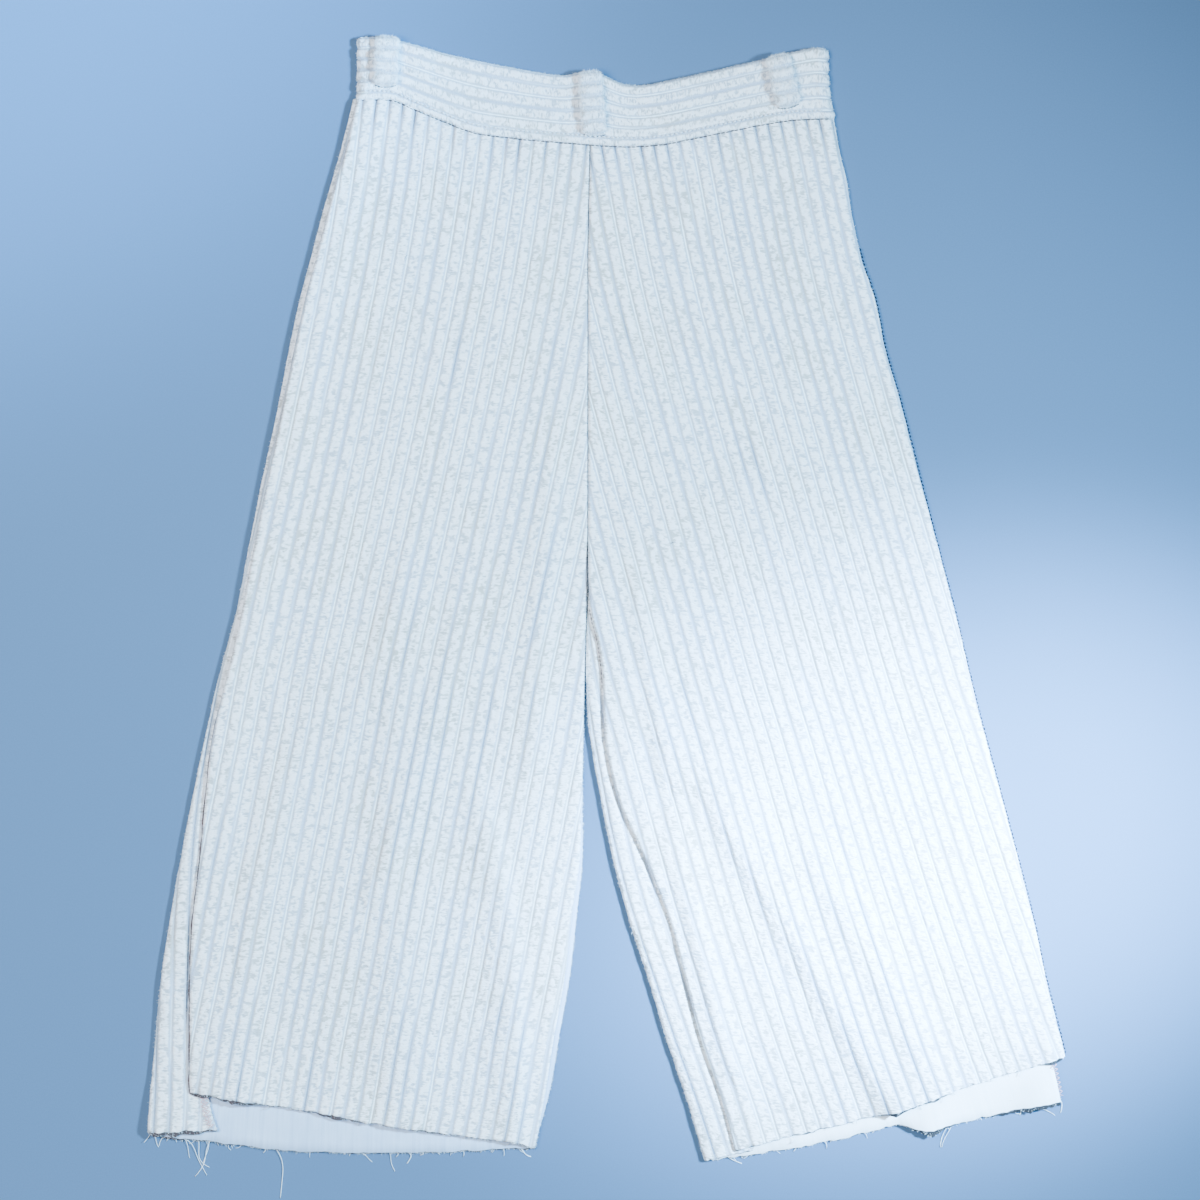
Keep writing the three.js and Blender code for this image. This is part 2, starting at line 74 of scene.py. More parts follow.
class Side(Enum):
    """The two legs, by their place in the plan."""

    LEFT = "left"
    RIGHT = "right"


class Face(Enum):
    """Material indices of a cloth's mesh."""

    PILE = 0
    WRONG_SIDE = 1
    CUT = 2


# --- tables ---


@dataclass(frozen=True)
class Curve:
    """A smooth curve through places and values, straight on past its ends."""

    places: np.ndarray
    values: np.ndarray

    def __call__(self, at: Number) -> Field:
        """The curve's values.

        Args:
            at: Places along the curve.

        Returns:
            One value for each place.
        """
        s = self.places
        v = self.values
        last = len(s) - 1
        ahead = np.minimum(np.arange(last + 1) + 1, last)
        behind = np.maximum(np.arange(last + 1) - 1, 0)
        slopes = (v[ahead] - v[behind]) / (s[ahead] - s[behind])
        i = np.clip(np.searchsorted(s, at, side="right") - 1, 0, last - 1)
        h = s[i + 1] - s[i]
        t = np.clip((at - s[i]) / h, 0, 1)
        rise = (v[i + 1] - v[i]) * t * t * (3 - 2 * t)
        lead = t * (1 - t) ** 2 * h * slopes[i]
        tail = t * t * (t - 1) * h * slopes[i + 1]
        outside = np.minimum(at - s[0], 0) * slopes[0] + np.maximum(at - s[last], 0) * slopes[last]
        return v[i] + rise + lead + tail + outside


@dataclass(frozen=True)
class Table:
    """Rows of numbers under named columns."""

    columns: tuple[str, ...]
    rows: tuple[tuple[float, ...], ...]

    def column(self, name: str) -> Field:
        """One column's numbers."""
        return np.array([row[self.columns.index(name)] for row in self.rows], float)

    def curve(self, at: str, value: str) -> Curve:
        """A smooth curve through two columns."""
        return Curve(self.column(at), self.column(value))


# Each edge's place across the garment, a row for each height.
EDGES = Table(
    ("y", "left_fold", "left_seam", "left_inner", "right_inner", "inner_seam", "right_fold"),
    (
        (-421, -345, -296, -56, 73, 98, 359),
        (-376, -342, -311, -47, 60, 86, 350),
        (-331, -338, -312, -40, 45, 70.5, 340),
        (-286, -334, -312, -32, 31.5, 59, 328.5),
        (-241, -327, -310, -26.5, 17, 47, 319),
        (-196, -319.5, -304.5, -20.5, 5, 29, 307.5),
        (-151, -310.5, -300.5, -19, -4, 9, 295.5),
        (-106, -301, -295.5, -18, -12, -1, 283.5),
        (-61, -291, -285, -17, -15.4, -3, 272),
        (-35, -284, -278.5, -16.5, -15, -6, 266),
        (-10, -277.5, -273, -15.5, -14.4, -12, 260),
        (28, -270, -266, -14.2, -13.8, -13.8, 250),
        (88, -258, -254, -14.2, -13.8, -13.8, 234.5),
        (148, -245, -241.5, -14.2, -13.8, -13.8, 219),
        (186, -238, -234, -14.2, -13.8, -13.8, 208),
        (223, -230, -226, -14.2, -13.8, -13.8, 200.5),
        (253, -222, -218, -14.2, -13.8, -13.8, 190.5),
        (287, -213, -209, -13.7, -13.3, -13.3, 183),
        (313, -205.5, -202, -13.2, -12.8, -12.8, 179),
        (336, -199, -195, -12.7, -12.3, -12.3, 173.5),
        (360, -193, -190, -12.2, -11.8, -11.8, 169.5),
        (386, -187, -184, -11.7, -11.3, -11.3, 166),
    ),
)


def heights(*rows: tuple[float, float]) -> Curve:
    """A curve of heights, from pairs of a place across and a height."""
    return Table(("x", "y"), rows).curve("x", "y")


def bumps(*rows: tuple[float, float, float]) -> Table:
    """Places where a hem stands up, or where more of its raw cut, coloured dark as painted shadow,
    shows from above.
    """
    return Table(("x", "width", "height"), rows)


# The waistband's long edges and its ends.
BAND_TOP = heights(
    (-188, 420), (-163, 418.5), (-118, 406.5), (-73, 397), (-34, 391), (-11, 394),
    (11, 385), (25, 383.5), (47, 387), (107, 400.5), (154, 411.5), (168, 411),
)
BAND_BOTTOM = heights(
    (-189, 373.5), (-161, 373.5), (-145, 367), (-123, 358), (-100, 349.5), (-77, 346),
    (-46, 343), (10, 339), (41, 340.5), (72, 346.5), (133, 358), (170, 360),
)
BAND_ENDS = Table(("y", "left", "right"), ((355, -188.5, 171), (380, -186.5, 166), (420, -186, 164.5)))

# Where one wale runs, and how far apart they lie, a row for each height.
WALE_COLUMNS = ("y", "x", "spacing")
LEFT_WALES = Table(
    WALE_COLUMNS,
    ((-414, -243.5, 10.3), (-76, -178, 10.2), (223, -114, 10.2), (298, -101, 10.1), (360, -93, 10.1)),
)
RIGHT_WALES = Table(
    WALE_COLUMNS,
    ((-392, 267, 11), (-226, 210, 10.7), (0, 141, 10.2), (223, 79, 10), (360, 51, 9.8)),
)
LEFT_STRIP_WALES = Table(
    WALE_COLUMNS,
    ((-400, -316.5, 11.4), (-150, -306, 10.6), (100, -252, 10.2), (360, -189, 10.2)),
)
RIGHT_STRIP_WALES = Table(
    WALE_COLUMNS,
    ((-420, 92, 10.6), (-364, 73.5, 10.6), (-198, 19.5, 10.4), (0, -18, 10.2), (360, -86, 10.2)),
)

# Places where the right back's hem stands up from the floor, and where the strips' cut, coloured dark
# as painted shadow, shows.
BACK_HEM_LIFTS = bumps((240, 19, 5.4), (326, 17, 4.6), (150, 30, 0.8))
STRIP_CUT_SHADOWS = bumps((-324, 24, 2.4), (-346, 6, 1.6))

# Soft ridges from top to bottom through a middle place; a height below zero makes a trough.
FOLD_COLUMNS = tuple("top_x top_y mid_x mid_y end_x end_y height left_width right_width".split())
LEFT_FOLDS = Table(
    FOLD_COLUMNS,
    (
        (-164, -2, -246, -160, -280, -372, 2.6, 14, 18),
        (-140, 81, -158, -120, -154, -400, 3.4, 18, 24),
        (-136, 108, -160, -6, -204, -118, 1.8, 8, 12),
        (-96, 88, -128, -80, -176, -220, 2.0, 9, 13),
        (-116, -98, -78, -222, -66, -410, 4.2, 20, 8),
        (-28, 186, -46, 28, -56, -121, 2.4, 12, 10),
        (-144, 336, -108, 300, -73, 280, 1.4, 10, 14),
        (-50, 332, -28, 287, -16, 250, 1.4, 10, 8),
    ),
)
RIGHT_FOLDS = Table(
    FOLD_COLUMNS,
    (
        (10, 118, 26, -20, 46, -130, 2.2, 8, 12),
        (36, -90, 62, -225, 92, -350, 2.4, 9, 14),
        (28, -69, 118, -215, 220, -390, 4.4, 12, 26),
        (126, -151, 190, -256, 248, -376, 3.4, 12, 18),
        (145, 336, 100, 312, 55, 295, 1.4, 12, 10),
        (115, 208, 68, 186, 10, 170, 1.8, 14, 18),
        (137, 88, 86, 74, 40, 51, 1.2, 12, 16),
    ),
)
BAND_FOLDS = Table(
    FOLD_COLUMNS,
    (
        (8, 394, 16, 372, 38, 352, -1.1, 5, 9),
        (-22, 392, -26, 376, -42, 362, 0.8, 7, 6),
        (120, 400, 104, 388, 84, 380, 0.6, 7, 7),
    ),
)


# --- shapes of numbers ---


def ease(t: Number) -> Field:
    """Goes softly from 0 at 0 to 1 at 1."""
    t = np.clip(t, 0, 1)
    return t * t * (3 - 2 * t)


def roll(distance: Number, radius: float) -> Field:
    """Rises as a quarter circle, from 0 at an edge to 1 a radius inwards."""
    return np.sqrt(1 - (1 - np.clip(np.asarray(distance) / radius, 0, 1)) ** 2)


def blend(a: Number, b: Number, share: Number) -> Field:
    """A mix of two numbers, all of the second where the share is 1."""
    return a + (b - a) * share


def scatter(column: Field, row: Field, seed: int) -> Field:
    """A repeatable number from 0 to 1 for each pair of whole numbers.

    Args:
        column: Whole numbers across.
        row: Whole numbers along.
        seed: Number of the pattern.

    Returns:
        One number for each pair.
    """
    bits = 0xFFFFFFFF
    mixed = column.astype(np.int64) * 374761393 + row.astype(np.int64) * 668265263 + seed * 69069
    mixed = mixed & bits
    mixed = ((mixed ^ (mixed >> 13)) * 1274126177) & bits
    mixed = ((mixed ^ (mixed >> 16)) * 2246822519) & bits
    return ((mixed ^ (mixed >> 15)) & 0xFFFF) / 65535.0


def drift(across: Number, along: Number, seed: int) -> Field:
    """Smooth noise from 0 to 1 with about one swell to a unit.

    Args:
        across: Places across.
        along: Places along.
        seed: Number of the pattern.

    Returns:
        One number for each place.
    """
    across, along = np.broadcast_arrays(across, along)
    column = np.floor(across)
    row = np.floor(along)
    u = ease(across - column)
    v = ease(along - row)
    low = blend(scatter(column, row, seed), scatter(column + 1, row, seed), u)
    high = blend(scatter(column, row + 1, seed), scatter(column + 1, row + 1, seed), u)
    return blend(low, high, v)


def to_frame(points: Field) -> Field:
    """Moves points from the plan, in millimetres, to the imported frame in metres."""
    return (np.asarray(points, float) + PLAN_SHIFT) * MM


def curved(a: Field, b: Field, c: Field, steps: int = 12) -> Field:
    """Points on a smooth curve through three places."""
    t = np.linspace(0, 1, steps)[:, None]
    return (1 - t) ** 2 * a + 2 * t * (1 - t) * (2 * b - (a + c) / 2) + t**2 * c


def way_along(path: Field) -> Field:
    """The way along a path to each of its points."""
    return np.r_[0.0, np.cumsum(np.linalg.norm(np.diff(path, axis=0), axis=1))]


def line_at(x: Number, y: Number, z: Number) -> Field:
    """Points of a line, from places across, along and up."""
    return np.stack(np.broadcast_arrays(x, y, z), 1)


@dataclass(frozen=True)
class Folds:
    """Soft ridges and troughs that stay in laid cloth."""

    table: Table
    steps: int = 8
    fade: float = 0.45
    depth: float = 1.25

    def __call__(self, x: Field, y: Field) -> Field:
        """Height of all the folds at each place."""
        each = (self._one(dict(zip(self.table.columns, row)), x, y) for row in self.table.rows)
        return sum(each, np.zeros(np.broadcast(x, y).shape))

    def _one(self, fold: dict[str, float], x: Field, y: Field) -> Field:
        """Height of one fold.

        Args:
            fold: A row of the table.
            x: Places across.
            y: Places along.

        Returns:
            One height for each place.
        """
        start = np.array([fold["top_x"], fold["top_y"]])
        end = np.array([fold["end_x"], fold["end_y"]])
        middle = np.array([fold["mid_x"], fold["mid_y"]])
        shape = np.broadcast(x, y).shape
        nearest = np.full(shape, np.inf)
        along = np.zeros(shape)
        side = np.ones(shape)
        points = curved(start, middle, end, self.steps + 1)
        for i in range(self.steps):
            ax, ay = points[i]
            dx, dy = points[i + 1] - points[i]
            t = np.clip(((x - ax) * dx + (y - ay) * dy) / (dx * dx + dy * dy), 0, 1)
            distance = np.hypot(x - ax - dx * t, y - ay - dy * t)
            closer = distance < nearest
            nearest = np.where(closer, distance, nearest)
            along = np.where(closer, (i + t) / self.steps, along)
            side = np.where(closer, np.sign((y - ay) * dx - (x - ax) * dy), side)
        width = np.where(side > 0, fold["right_width"], fold["left_width"])
        return self.depth * fold["height"] * ease(along / self.fade) * np.exp(-((nearest / width) ** 2))


def lifted(table: Table, x: Field) -> Field:
    """Height of a hem over its rest, across the garment."""
    each = (height * np.exp(-(((x - place) / width) ** 2)) for place, width, height in table.rows)
    return sum(each, np.zeros(np.shape(x)))


@dataclass(frozen=True)
class Wales:
    """The lines along which the cord's ribs run."""

    table: Table

    def phase(self, s: Field, y: Field) -> Field:
        """How many wales a place lies across; a groove is at each whole number."""
        return (s - self.line(y)) / self.spacing(y)

    def place(self, phase: Field, y: Field) -> Field:
        """The place across for a phase."""
        return self.line(y) + phase * self.spacing(y)

    def line(self, y: Field) -> Field:
        """The place of wale 0, which wanders a little."""
        return self.table.curve("y", "x")(y) + 1.3 * (drift(0.0, y / 55, 17) - 0.5)

    def spacing(self, y: Field) -> Field:
        """The distance from wale to wale."""
        return self.table.curve("y", "spacing")(y)


@dataclass(frozen=True)
class Nap:
    """The cord's pile over its woven ground."""

    seed: int
    height: float = 1.75
    ground: float = 1.6
    closed_foot: float = 0.6

    def openness(self, phase: Field, along: Field) -> Field:
        """How far the groove nearest to each place stands open, from 0 to 1."""
        groove = drift(np.round(phase) * 5.31, along / 120, self.seed)
        patch = drift(phase / 7, along / 90, self.seed + 1)
        return ease((0.7 * groove + 0.3 * patch - 0.44) / 0.16)

    def rise(self, phase: Field, along: Field) -> Field:
        """Height of the pile over its ground.

        Args:
            phase: Places across, in wales.
            along: Places along the wale, in millimetres.

        Returns:
            One height for each place.
        """
        opened = self.openness(phase, along)
        side = np.abs(2 * (phase - np.floor(phase)) - 1)
        foot = self.closed_foot * (1 - 0.3 * opened)
        crown = (1 - side ** (6.0 - 1.2 * opened)) ** 0.6
        tuft = drift(phase * 2.1, along / 4.2, self.seed + 2) - 0.5
        swell = drift(np.floor(phase) * 3.37, along / 7.5, self.seed + 3) - 0.5
        return self.height * (foot + (1 - foot) * crown * (1 + 0.44 * tuft + 0.34 * swell))


@dataclass(frozen=True)
class TurnedEdge:
    """The way a layer turns round from the top of the garment to the floor."""

    radius: float = 9.0
    wall: float = 3.2
    height: float = 2.5
    floor: float = 1.0
    upper: float = 11.4
    lower: float = 3.7
    inset: float = 1.25

    @property
    def length(self) -> float:
        """Length of the turn."""
        return self.upper + self.lower

    @property
    def reach(self) -> float:
        """How far the ground turns out past the tangent."""
        return self.radius - self.inset

    def angles(self, beyond: Field) -> tuple[Field, Field]:
        """How far a place has turned round the upper and the lower arc."""
        low = np.clip((beyond - self.upper) / self.lower, 0, 1)
        return np.clip(beyond / self.upper, 0, 1) * QUARTER, low * QUARTER

    def out(self, beyond: Field) -> Field:
        """How far out a place lies past the tangent, by its way along the cloth."""
        up, low = self.angles(beyond)
        under = np.maximum(beyond - self.length, 0)
        return np.minimum(beyond, 0) + self.reach * np.sin(up) - self.wall * (1 - np.cos(low)) - under

    def along(self, out: Field) -> Field:
        """The way along the cloth of a place on the turn's upper part."""
        turned = np.arcsin(np.clip(out / self.reach, 0, 1)) / QUARTER * self.upper
        return np.where(out > 0, turned, out)

    def level(self, beyond: Field, top: Field) -> Field:
        """Height of the ground, by its way along the cloth and its height before the turn."""
        up, low = self.angles(beyond)
        return self.height + (top - self.height) * np.cos(up) - (self.height - self.floor) * np.sin(low)

    def normal(self, beyond: Field, top: Field) -> tuple[Field, Field]:
        """The pile's direction, outwards and up.

        Args:
            beyond: The way along the cloth past the tangent.
            top: Heights before the turn.

        Returns:
            Two numbers for each place.
        """
        up, low = self.angles(beyond)
        rise = np.maximum(top - self.height, 1.0)
        out = np.where(low > 0, (self.height - self.floor) * np.cos(low), rise * np.sin(up))
        high = np.where(low > 0, -self.wall * np.sin(low), self.reach * np.cos(up))
        size = np.maximum(np.hypot(out, high), 1e-6)
        return out / size, high / size


# --- meshes ---


@dataclass
class Layer:
    """One side of a cloth as a mesh with its outline, bottom, right, top and left."""

    points: Field
    nap: Field
    triangles: Field
    loop: Field
    loop_at: Field


@dataclass
class Drawing:
    """A mesh in the making: points, triangles, faces' kinds and the nap's coordinates."""

    points: Field
    triangles: Field
    faces: Field
    smooth: Field
    nap: Field


def outline_of(index: Field, across: Field, along: Field) -> tuple[Field, Field]:
    """The outline of a grid of vertex numbers.

    Args:
        index: Vertex numbers, rows from the bottom up.
        across: Each row's places across, from 0 to 1.
        along: Each row's place along, from 0 to 1.

    Returns:
        The vertices of the outline, and their way round it from 0 to 4.
    """
    parts = (
        (index[0], across[0]),
        (index[:, -1], 1 + along),
        (index[-1][::-1], 3 - across[-1][::-1]),
        (index[::-1, 0], 4 - along[::-1]),
    )
    loop = np.concatenate([part[0] for part in parts])
    at = np.concatenate([part[1] for part in parts])
    keep = np.append(loop[1:] != loop[:-1], True)
    return loop[keep], at[keep]


def grid_triangles(index: Field) -> Field:
    """Triangles over a grid of vertex numbers, without those that have closed up.

    Args:
        index: Vertex numbers in rows.

    Returns:
        The triangles.
    """
    a = index[:-1, :-1].ravel()
    b = index[:-1, 1:].ravel()
    c = index[1:, 1:].ravel()
    d = index[1:, :-1].ravel()
    made = np.concatenate([np.stack([a, b, c], 1), np.stack([a, c, d], 1)])
    whole = (made[:, 0] != made[:, 1]) & (made[:, 1] != made[:, 2]) & (made[:, 0] != made[:, 2])
    return made[whole]


def zipped(outer: Field, outer_at: Field, inner: Field, inner_at: Field) -> Field:
    """Triangles between two chains of vertices, by their way along.

    Args:
        outer: Vertices of the outer chain.
        outer_at: Their way along.
        inner: Vertices of the inner chain.
        inner_at: Their way along.

    Returns:
        The triangles, facing out where the chains run anticlockwise seen from above.
    """
    made = []
    i = 0
    j = 0
    while i < len(outer) - 1 or j < len(inner) - 1:
        more_outer = i < len(outer) - 1
        more_inner = j < len(inner) - 1
        if more_outer and (not more_inner or outer_at[i + 1] <= inner_at[j + 1]):
            made.append((outer[i], inner[j], outer[i + 1]))
            i += 1
        else:
            made.append((outer[i], inner[j], inner[j + 1]))
            j += 1
    return np.array([t for t in made if len(set(t)) == 3])


def closed_shell(outer: Layer, inner: Layer) -> Drawing:
    """A closed cloth between two layers.

    Args:
        outer: The pile side.
        inner: The wrong side, over the same outline.

    Returns:
        The cloth.
    """
    shift = len(outer.points)
    turned = inner.triangles[:, ::-1] + shift
    rim = zipped(outer.loop, outer.loop_at, inner.loop + shift, inner.loop_at)
    triangles = np.concatenate([outer.triangles, turned, rim])
    counts = (len(outer.triangles), len(turned), len(rim))
    kinds = (Face.PILE.value, Face.WRONG_SIDE.value, Face.CUT.value)
    faces = np.repeat(kinds, counts)
    return Drawing(
        np.concatenate([outer.points, inner.points]),
        triangles,
        faces,
        faces != Face.CUT.value,
        np.concatenate([outer.nap, inner.nap]),
    )


def tube_triangles(rings: int, sides: int) -> Field:
    """Triangles of a tube whose ends close on two last points.

    Args:
        rings: Rings of points along it.
        sides: Points of each ring.

    Returns:
        The triangles, the skin's before those of the two ends.
    """
    count = rings * sides
    around = np.arange(count).reshape(rings, sides)[:, [*range(sides), 0]]
    start = np.stack([around[0, 1:], around[0, :-1], np.full(sides, count)], 1)
    end = np.stack([around[-1, :-1], around[-1, 1:], np.full(sides, count + 1)], 1)
    return np.concatenate([grid_triangles(around), start, end])


def plain_drawing(points: Field, triangles: Field, nap: Field, smooth: bool = True) -> Drawing:
    """A drawing of one kind of face.

    Args:
        points: Its points.
        triangles: Its triangles.
        nap: Its nap coordinates.
        smooth: True where it is shaded smoothly.

    Returns:
        The drawing.
    """
    count = len(triangles)
    return Drawing(points, triangles, np.zeros(count, int), np.full(count, smooth), nap)


def linked(name: str, data: bpy.types.ID) -> Piece:
    """An object of the scene for a mesh, a light or a camera."""
    made = bpy.data.objects.new(name, data)
    bpy.context.scene.collection.objects.link(made)
    return made


def object_of(name: str, drawing: Drawing, materials: list[Material]) -> Piece:
    """Makes a drawing an object of the scene.

    Args:
        name: The piece's name.
        drawing: The mesh, in the plan.
        materials: Its materials, by the faces' kinds.

    Returns:
        The object, riding on the garment.
    """
    used, compact = np.unique(drawing.triangles, return_inverse=True)
    corners = compact.reshape(-1, 3).astype(np.int32)
    points = to_frame(drawing.points[used]).astype(np.float32)
    mesh = bpy.data.meshes.new(name)
    mesh.vertices.add(len(points))
    mesh.vertices.foreach_set("co", points.ravel())
    mesh.loops.add(corners.size)
    mesh.loops.foreach_set("vertex_index", corners.ravel())
    mesh.polygons.add(len(corners))
    mesh.polygons.foreach_set("loop_start", np.arange(0, corners.size, 3, dtype=np.int32))
    mesh.polygons.foreach_set("material_index", drawing.faces.astype(np.int32))
    mesh.polygons.foreach_set("use_smooth", drawing.smooth.astype(bool))
    nap = mesh.attributes.new("nap", "FLOAT_VECTOR", "POINT")
    nap.data.foreach_set("vector", drawing.nap[used].astype(np.float32).ravel())
    mesh.update(calc_edges=True)
    mesh.validate()
    for material in materials:
        mesh.materials.append(material)
    made = linked(name, mesh)
    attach(made, BODY)
    log.info("%s: %d triangles", name, len(corners))
    return made


@dataclass(frozen=True)
class Cloth:
    """A finished cloth, the solid that it stands for and the mesh that it was made from."""

    node: str
    piece: Piece
    drawing: Drawing


def cloth_of(node: str, drawing: Drawing, materials: list[Material]) -> Cloth:
    """Makes a cloth in place of its solid.

    Args:
        node: The solid's name.
        drawing: The cloth's mesh, in the plan.
        materials: Pile, wrong side and cut edge.

    Returns:
        The cloth.
    """
    made = object_of(f"{node}_cloth", drawing, materials)
    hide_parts(node)
    return Cloth(node, made, drawing)


# --- the cloth's panels ---


@dataclass(frozen=True)
class Resting:
    """Heights at which the layers lie, and the allowances between them."""

    back_wall: float = 2.4
    gap: float = 0.3
    allowance_width: float = 13.0
    allowance_top: float = 4.9
    allowance_fade: float = 20.0
    waist_lift: float = 1.9
    waist_reach: float = 34.0
    looseness: float = 0.7
    strip_inside: float = 3.1

    @property
    def front(self) -> float:
        """Underside of the front over the back."""
        return self.back_wall + self.gap

    def at_seam(self, distance: Field) -> Field:
        """How much a seam allowance lifts the front, by the distance from the seam."""
        lift = self.allowance_top + self.gap - self.front
        return lift * (1 - ease((distance - self.allowance_width - 2) / self.allowance_fade))

    def at_waist(self, x: Field, y: Field) -> Field:
        """How much the waistband lifts the front."""
        return self.waist_lift * np.exp(-np.maximum(BAND_BOTTOM(x) - y, 0) / self.waist_reach)


RESTING = Resting()
# Columns over a wale, and the first rows at a hem.
RIB_STEPS = np.array([0, 0.06, 0.15, 0.27, 0.39, 0.5, 0.61, 0.73, 0.85, 0.94])
HEM_STEPS = (0.0, 0.0012, 0.0028)


@dataclass(frozen=True)
class Leg:
    """The lines, folds, hems and raw cuts of one leg."""

    side: Side
    seam: Curve
    fold: Curve
    far: Curve
    folds: Folds
    front_hem: Curve
    back_hem: Curve
    strip_hem: Curve
    front_lifts: Table
    front_cut_shadows: Table
    back_cut_shadows: Table
    seam_roll: float
    # How much painted shade the strip's grooves get all over.
    strip_crease_shade: float


LEFT_LEG = Leg(
    side=Side.LEFT,
    seam=EDGES.curve("y", "left_seam"),
    fold=EDGES.curve("y", "left_fold"),
    far=EDGES.curve("y", "left_inner"),
    folds=Folds(LEFT_FOLDS),
    front_hem=heights(
        (-312, -369.5), (-271, -376.5), (-227, -383), (-158, -396),
        (-111, -402), (-67, -408), (-55, -412),
    ),
    back_hem=heights(
        (-343, -401), (-305, -406), (-246, -413), (-193, -415.5),
        (-139, -415), (-70, -412.5), (-55, -411.5),
    ),
    strip_hem=heights((-343, -400), (-283, -397.5)),
    front_lifts=bumps((-300, 12, 1.6), (-272, 22, 4.2), (-196, 26, 3.2), (-110, 20, 1.0)),
    front_cut_shadows=bumps((-305, 5, 2.4), (-278, 15, 2.6), (-206, 17, 1.8), (-132, 14, 0.7)),
    back_cut_shadows=bumps((-330, 30, 0.9), (-60, 20, 0.5)),
    seam_roll=2.4,
    strip_crease_shade=0.55,
)
RIGHT_LEG = Leg(
    side=Side.RIGHT,
    seam=EDGES.curve("y", "inner_seam"),
    fold=EDGES.curve("y", "right_inner"),
    far=EDGES.curve("y", "right_fold"),
    folds=Folds(RIGHT_FOLDS),
    front_hem=heights(
        (96, -413), (150, -400), (190, -390.5), (229, -380.5),
        (266, -367), (313, -353), (343, -343.5),
    ),
    back_hem=heights(
        (73, -421), (107, -417), (154, -409), (197, -400), (218, -394),
        (239, -398.5), (257, -395), (285, -388), (339, -377),
    ),
    strip_hem=heights((73, -421), (112, -414)),
    front_lifts=bumps((116, 10, 1.2), (221, 16, 4.0), (336, 16, 3.0)),
    front_cut_shadows=bumps((219, 12, 2.2), (246, 7, 1.6), (336, 6, 2.6), (150, 12, 0.6)),
    back_cut_shadows=bumps((243, 12, 3.2), (322, 14, 3.0), (346, 8, 3.0), (298, 8, 1.6)),
    seam_roll=1.7,
    strip_crease_shade=0.15,
)


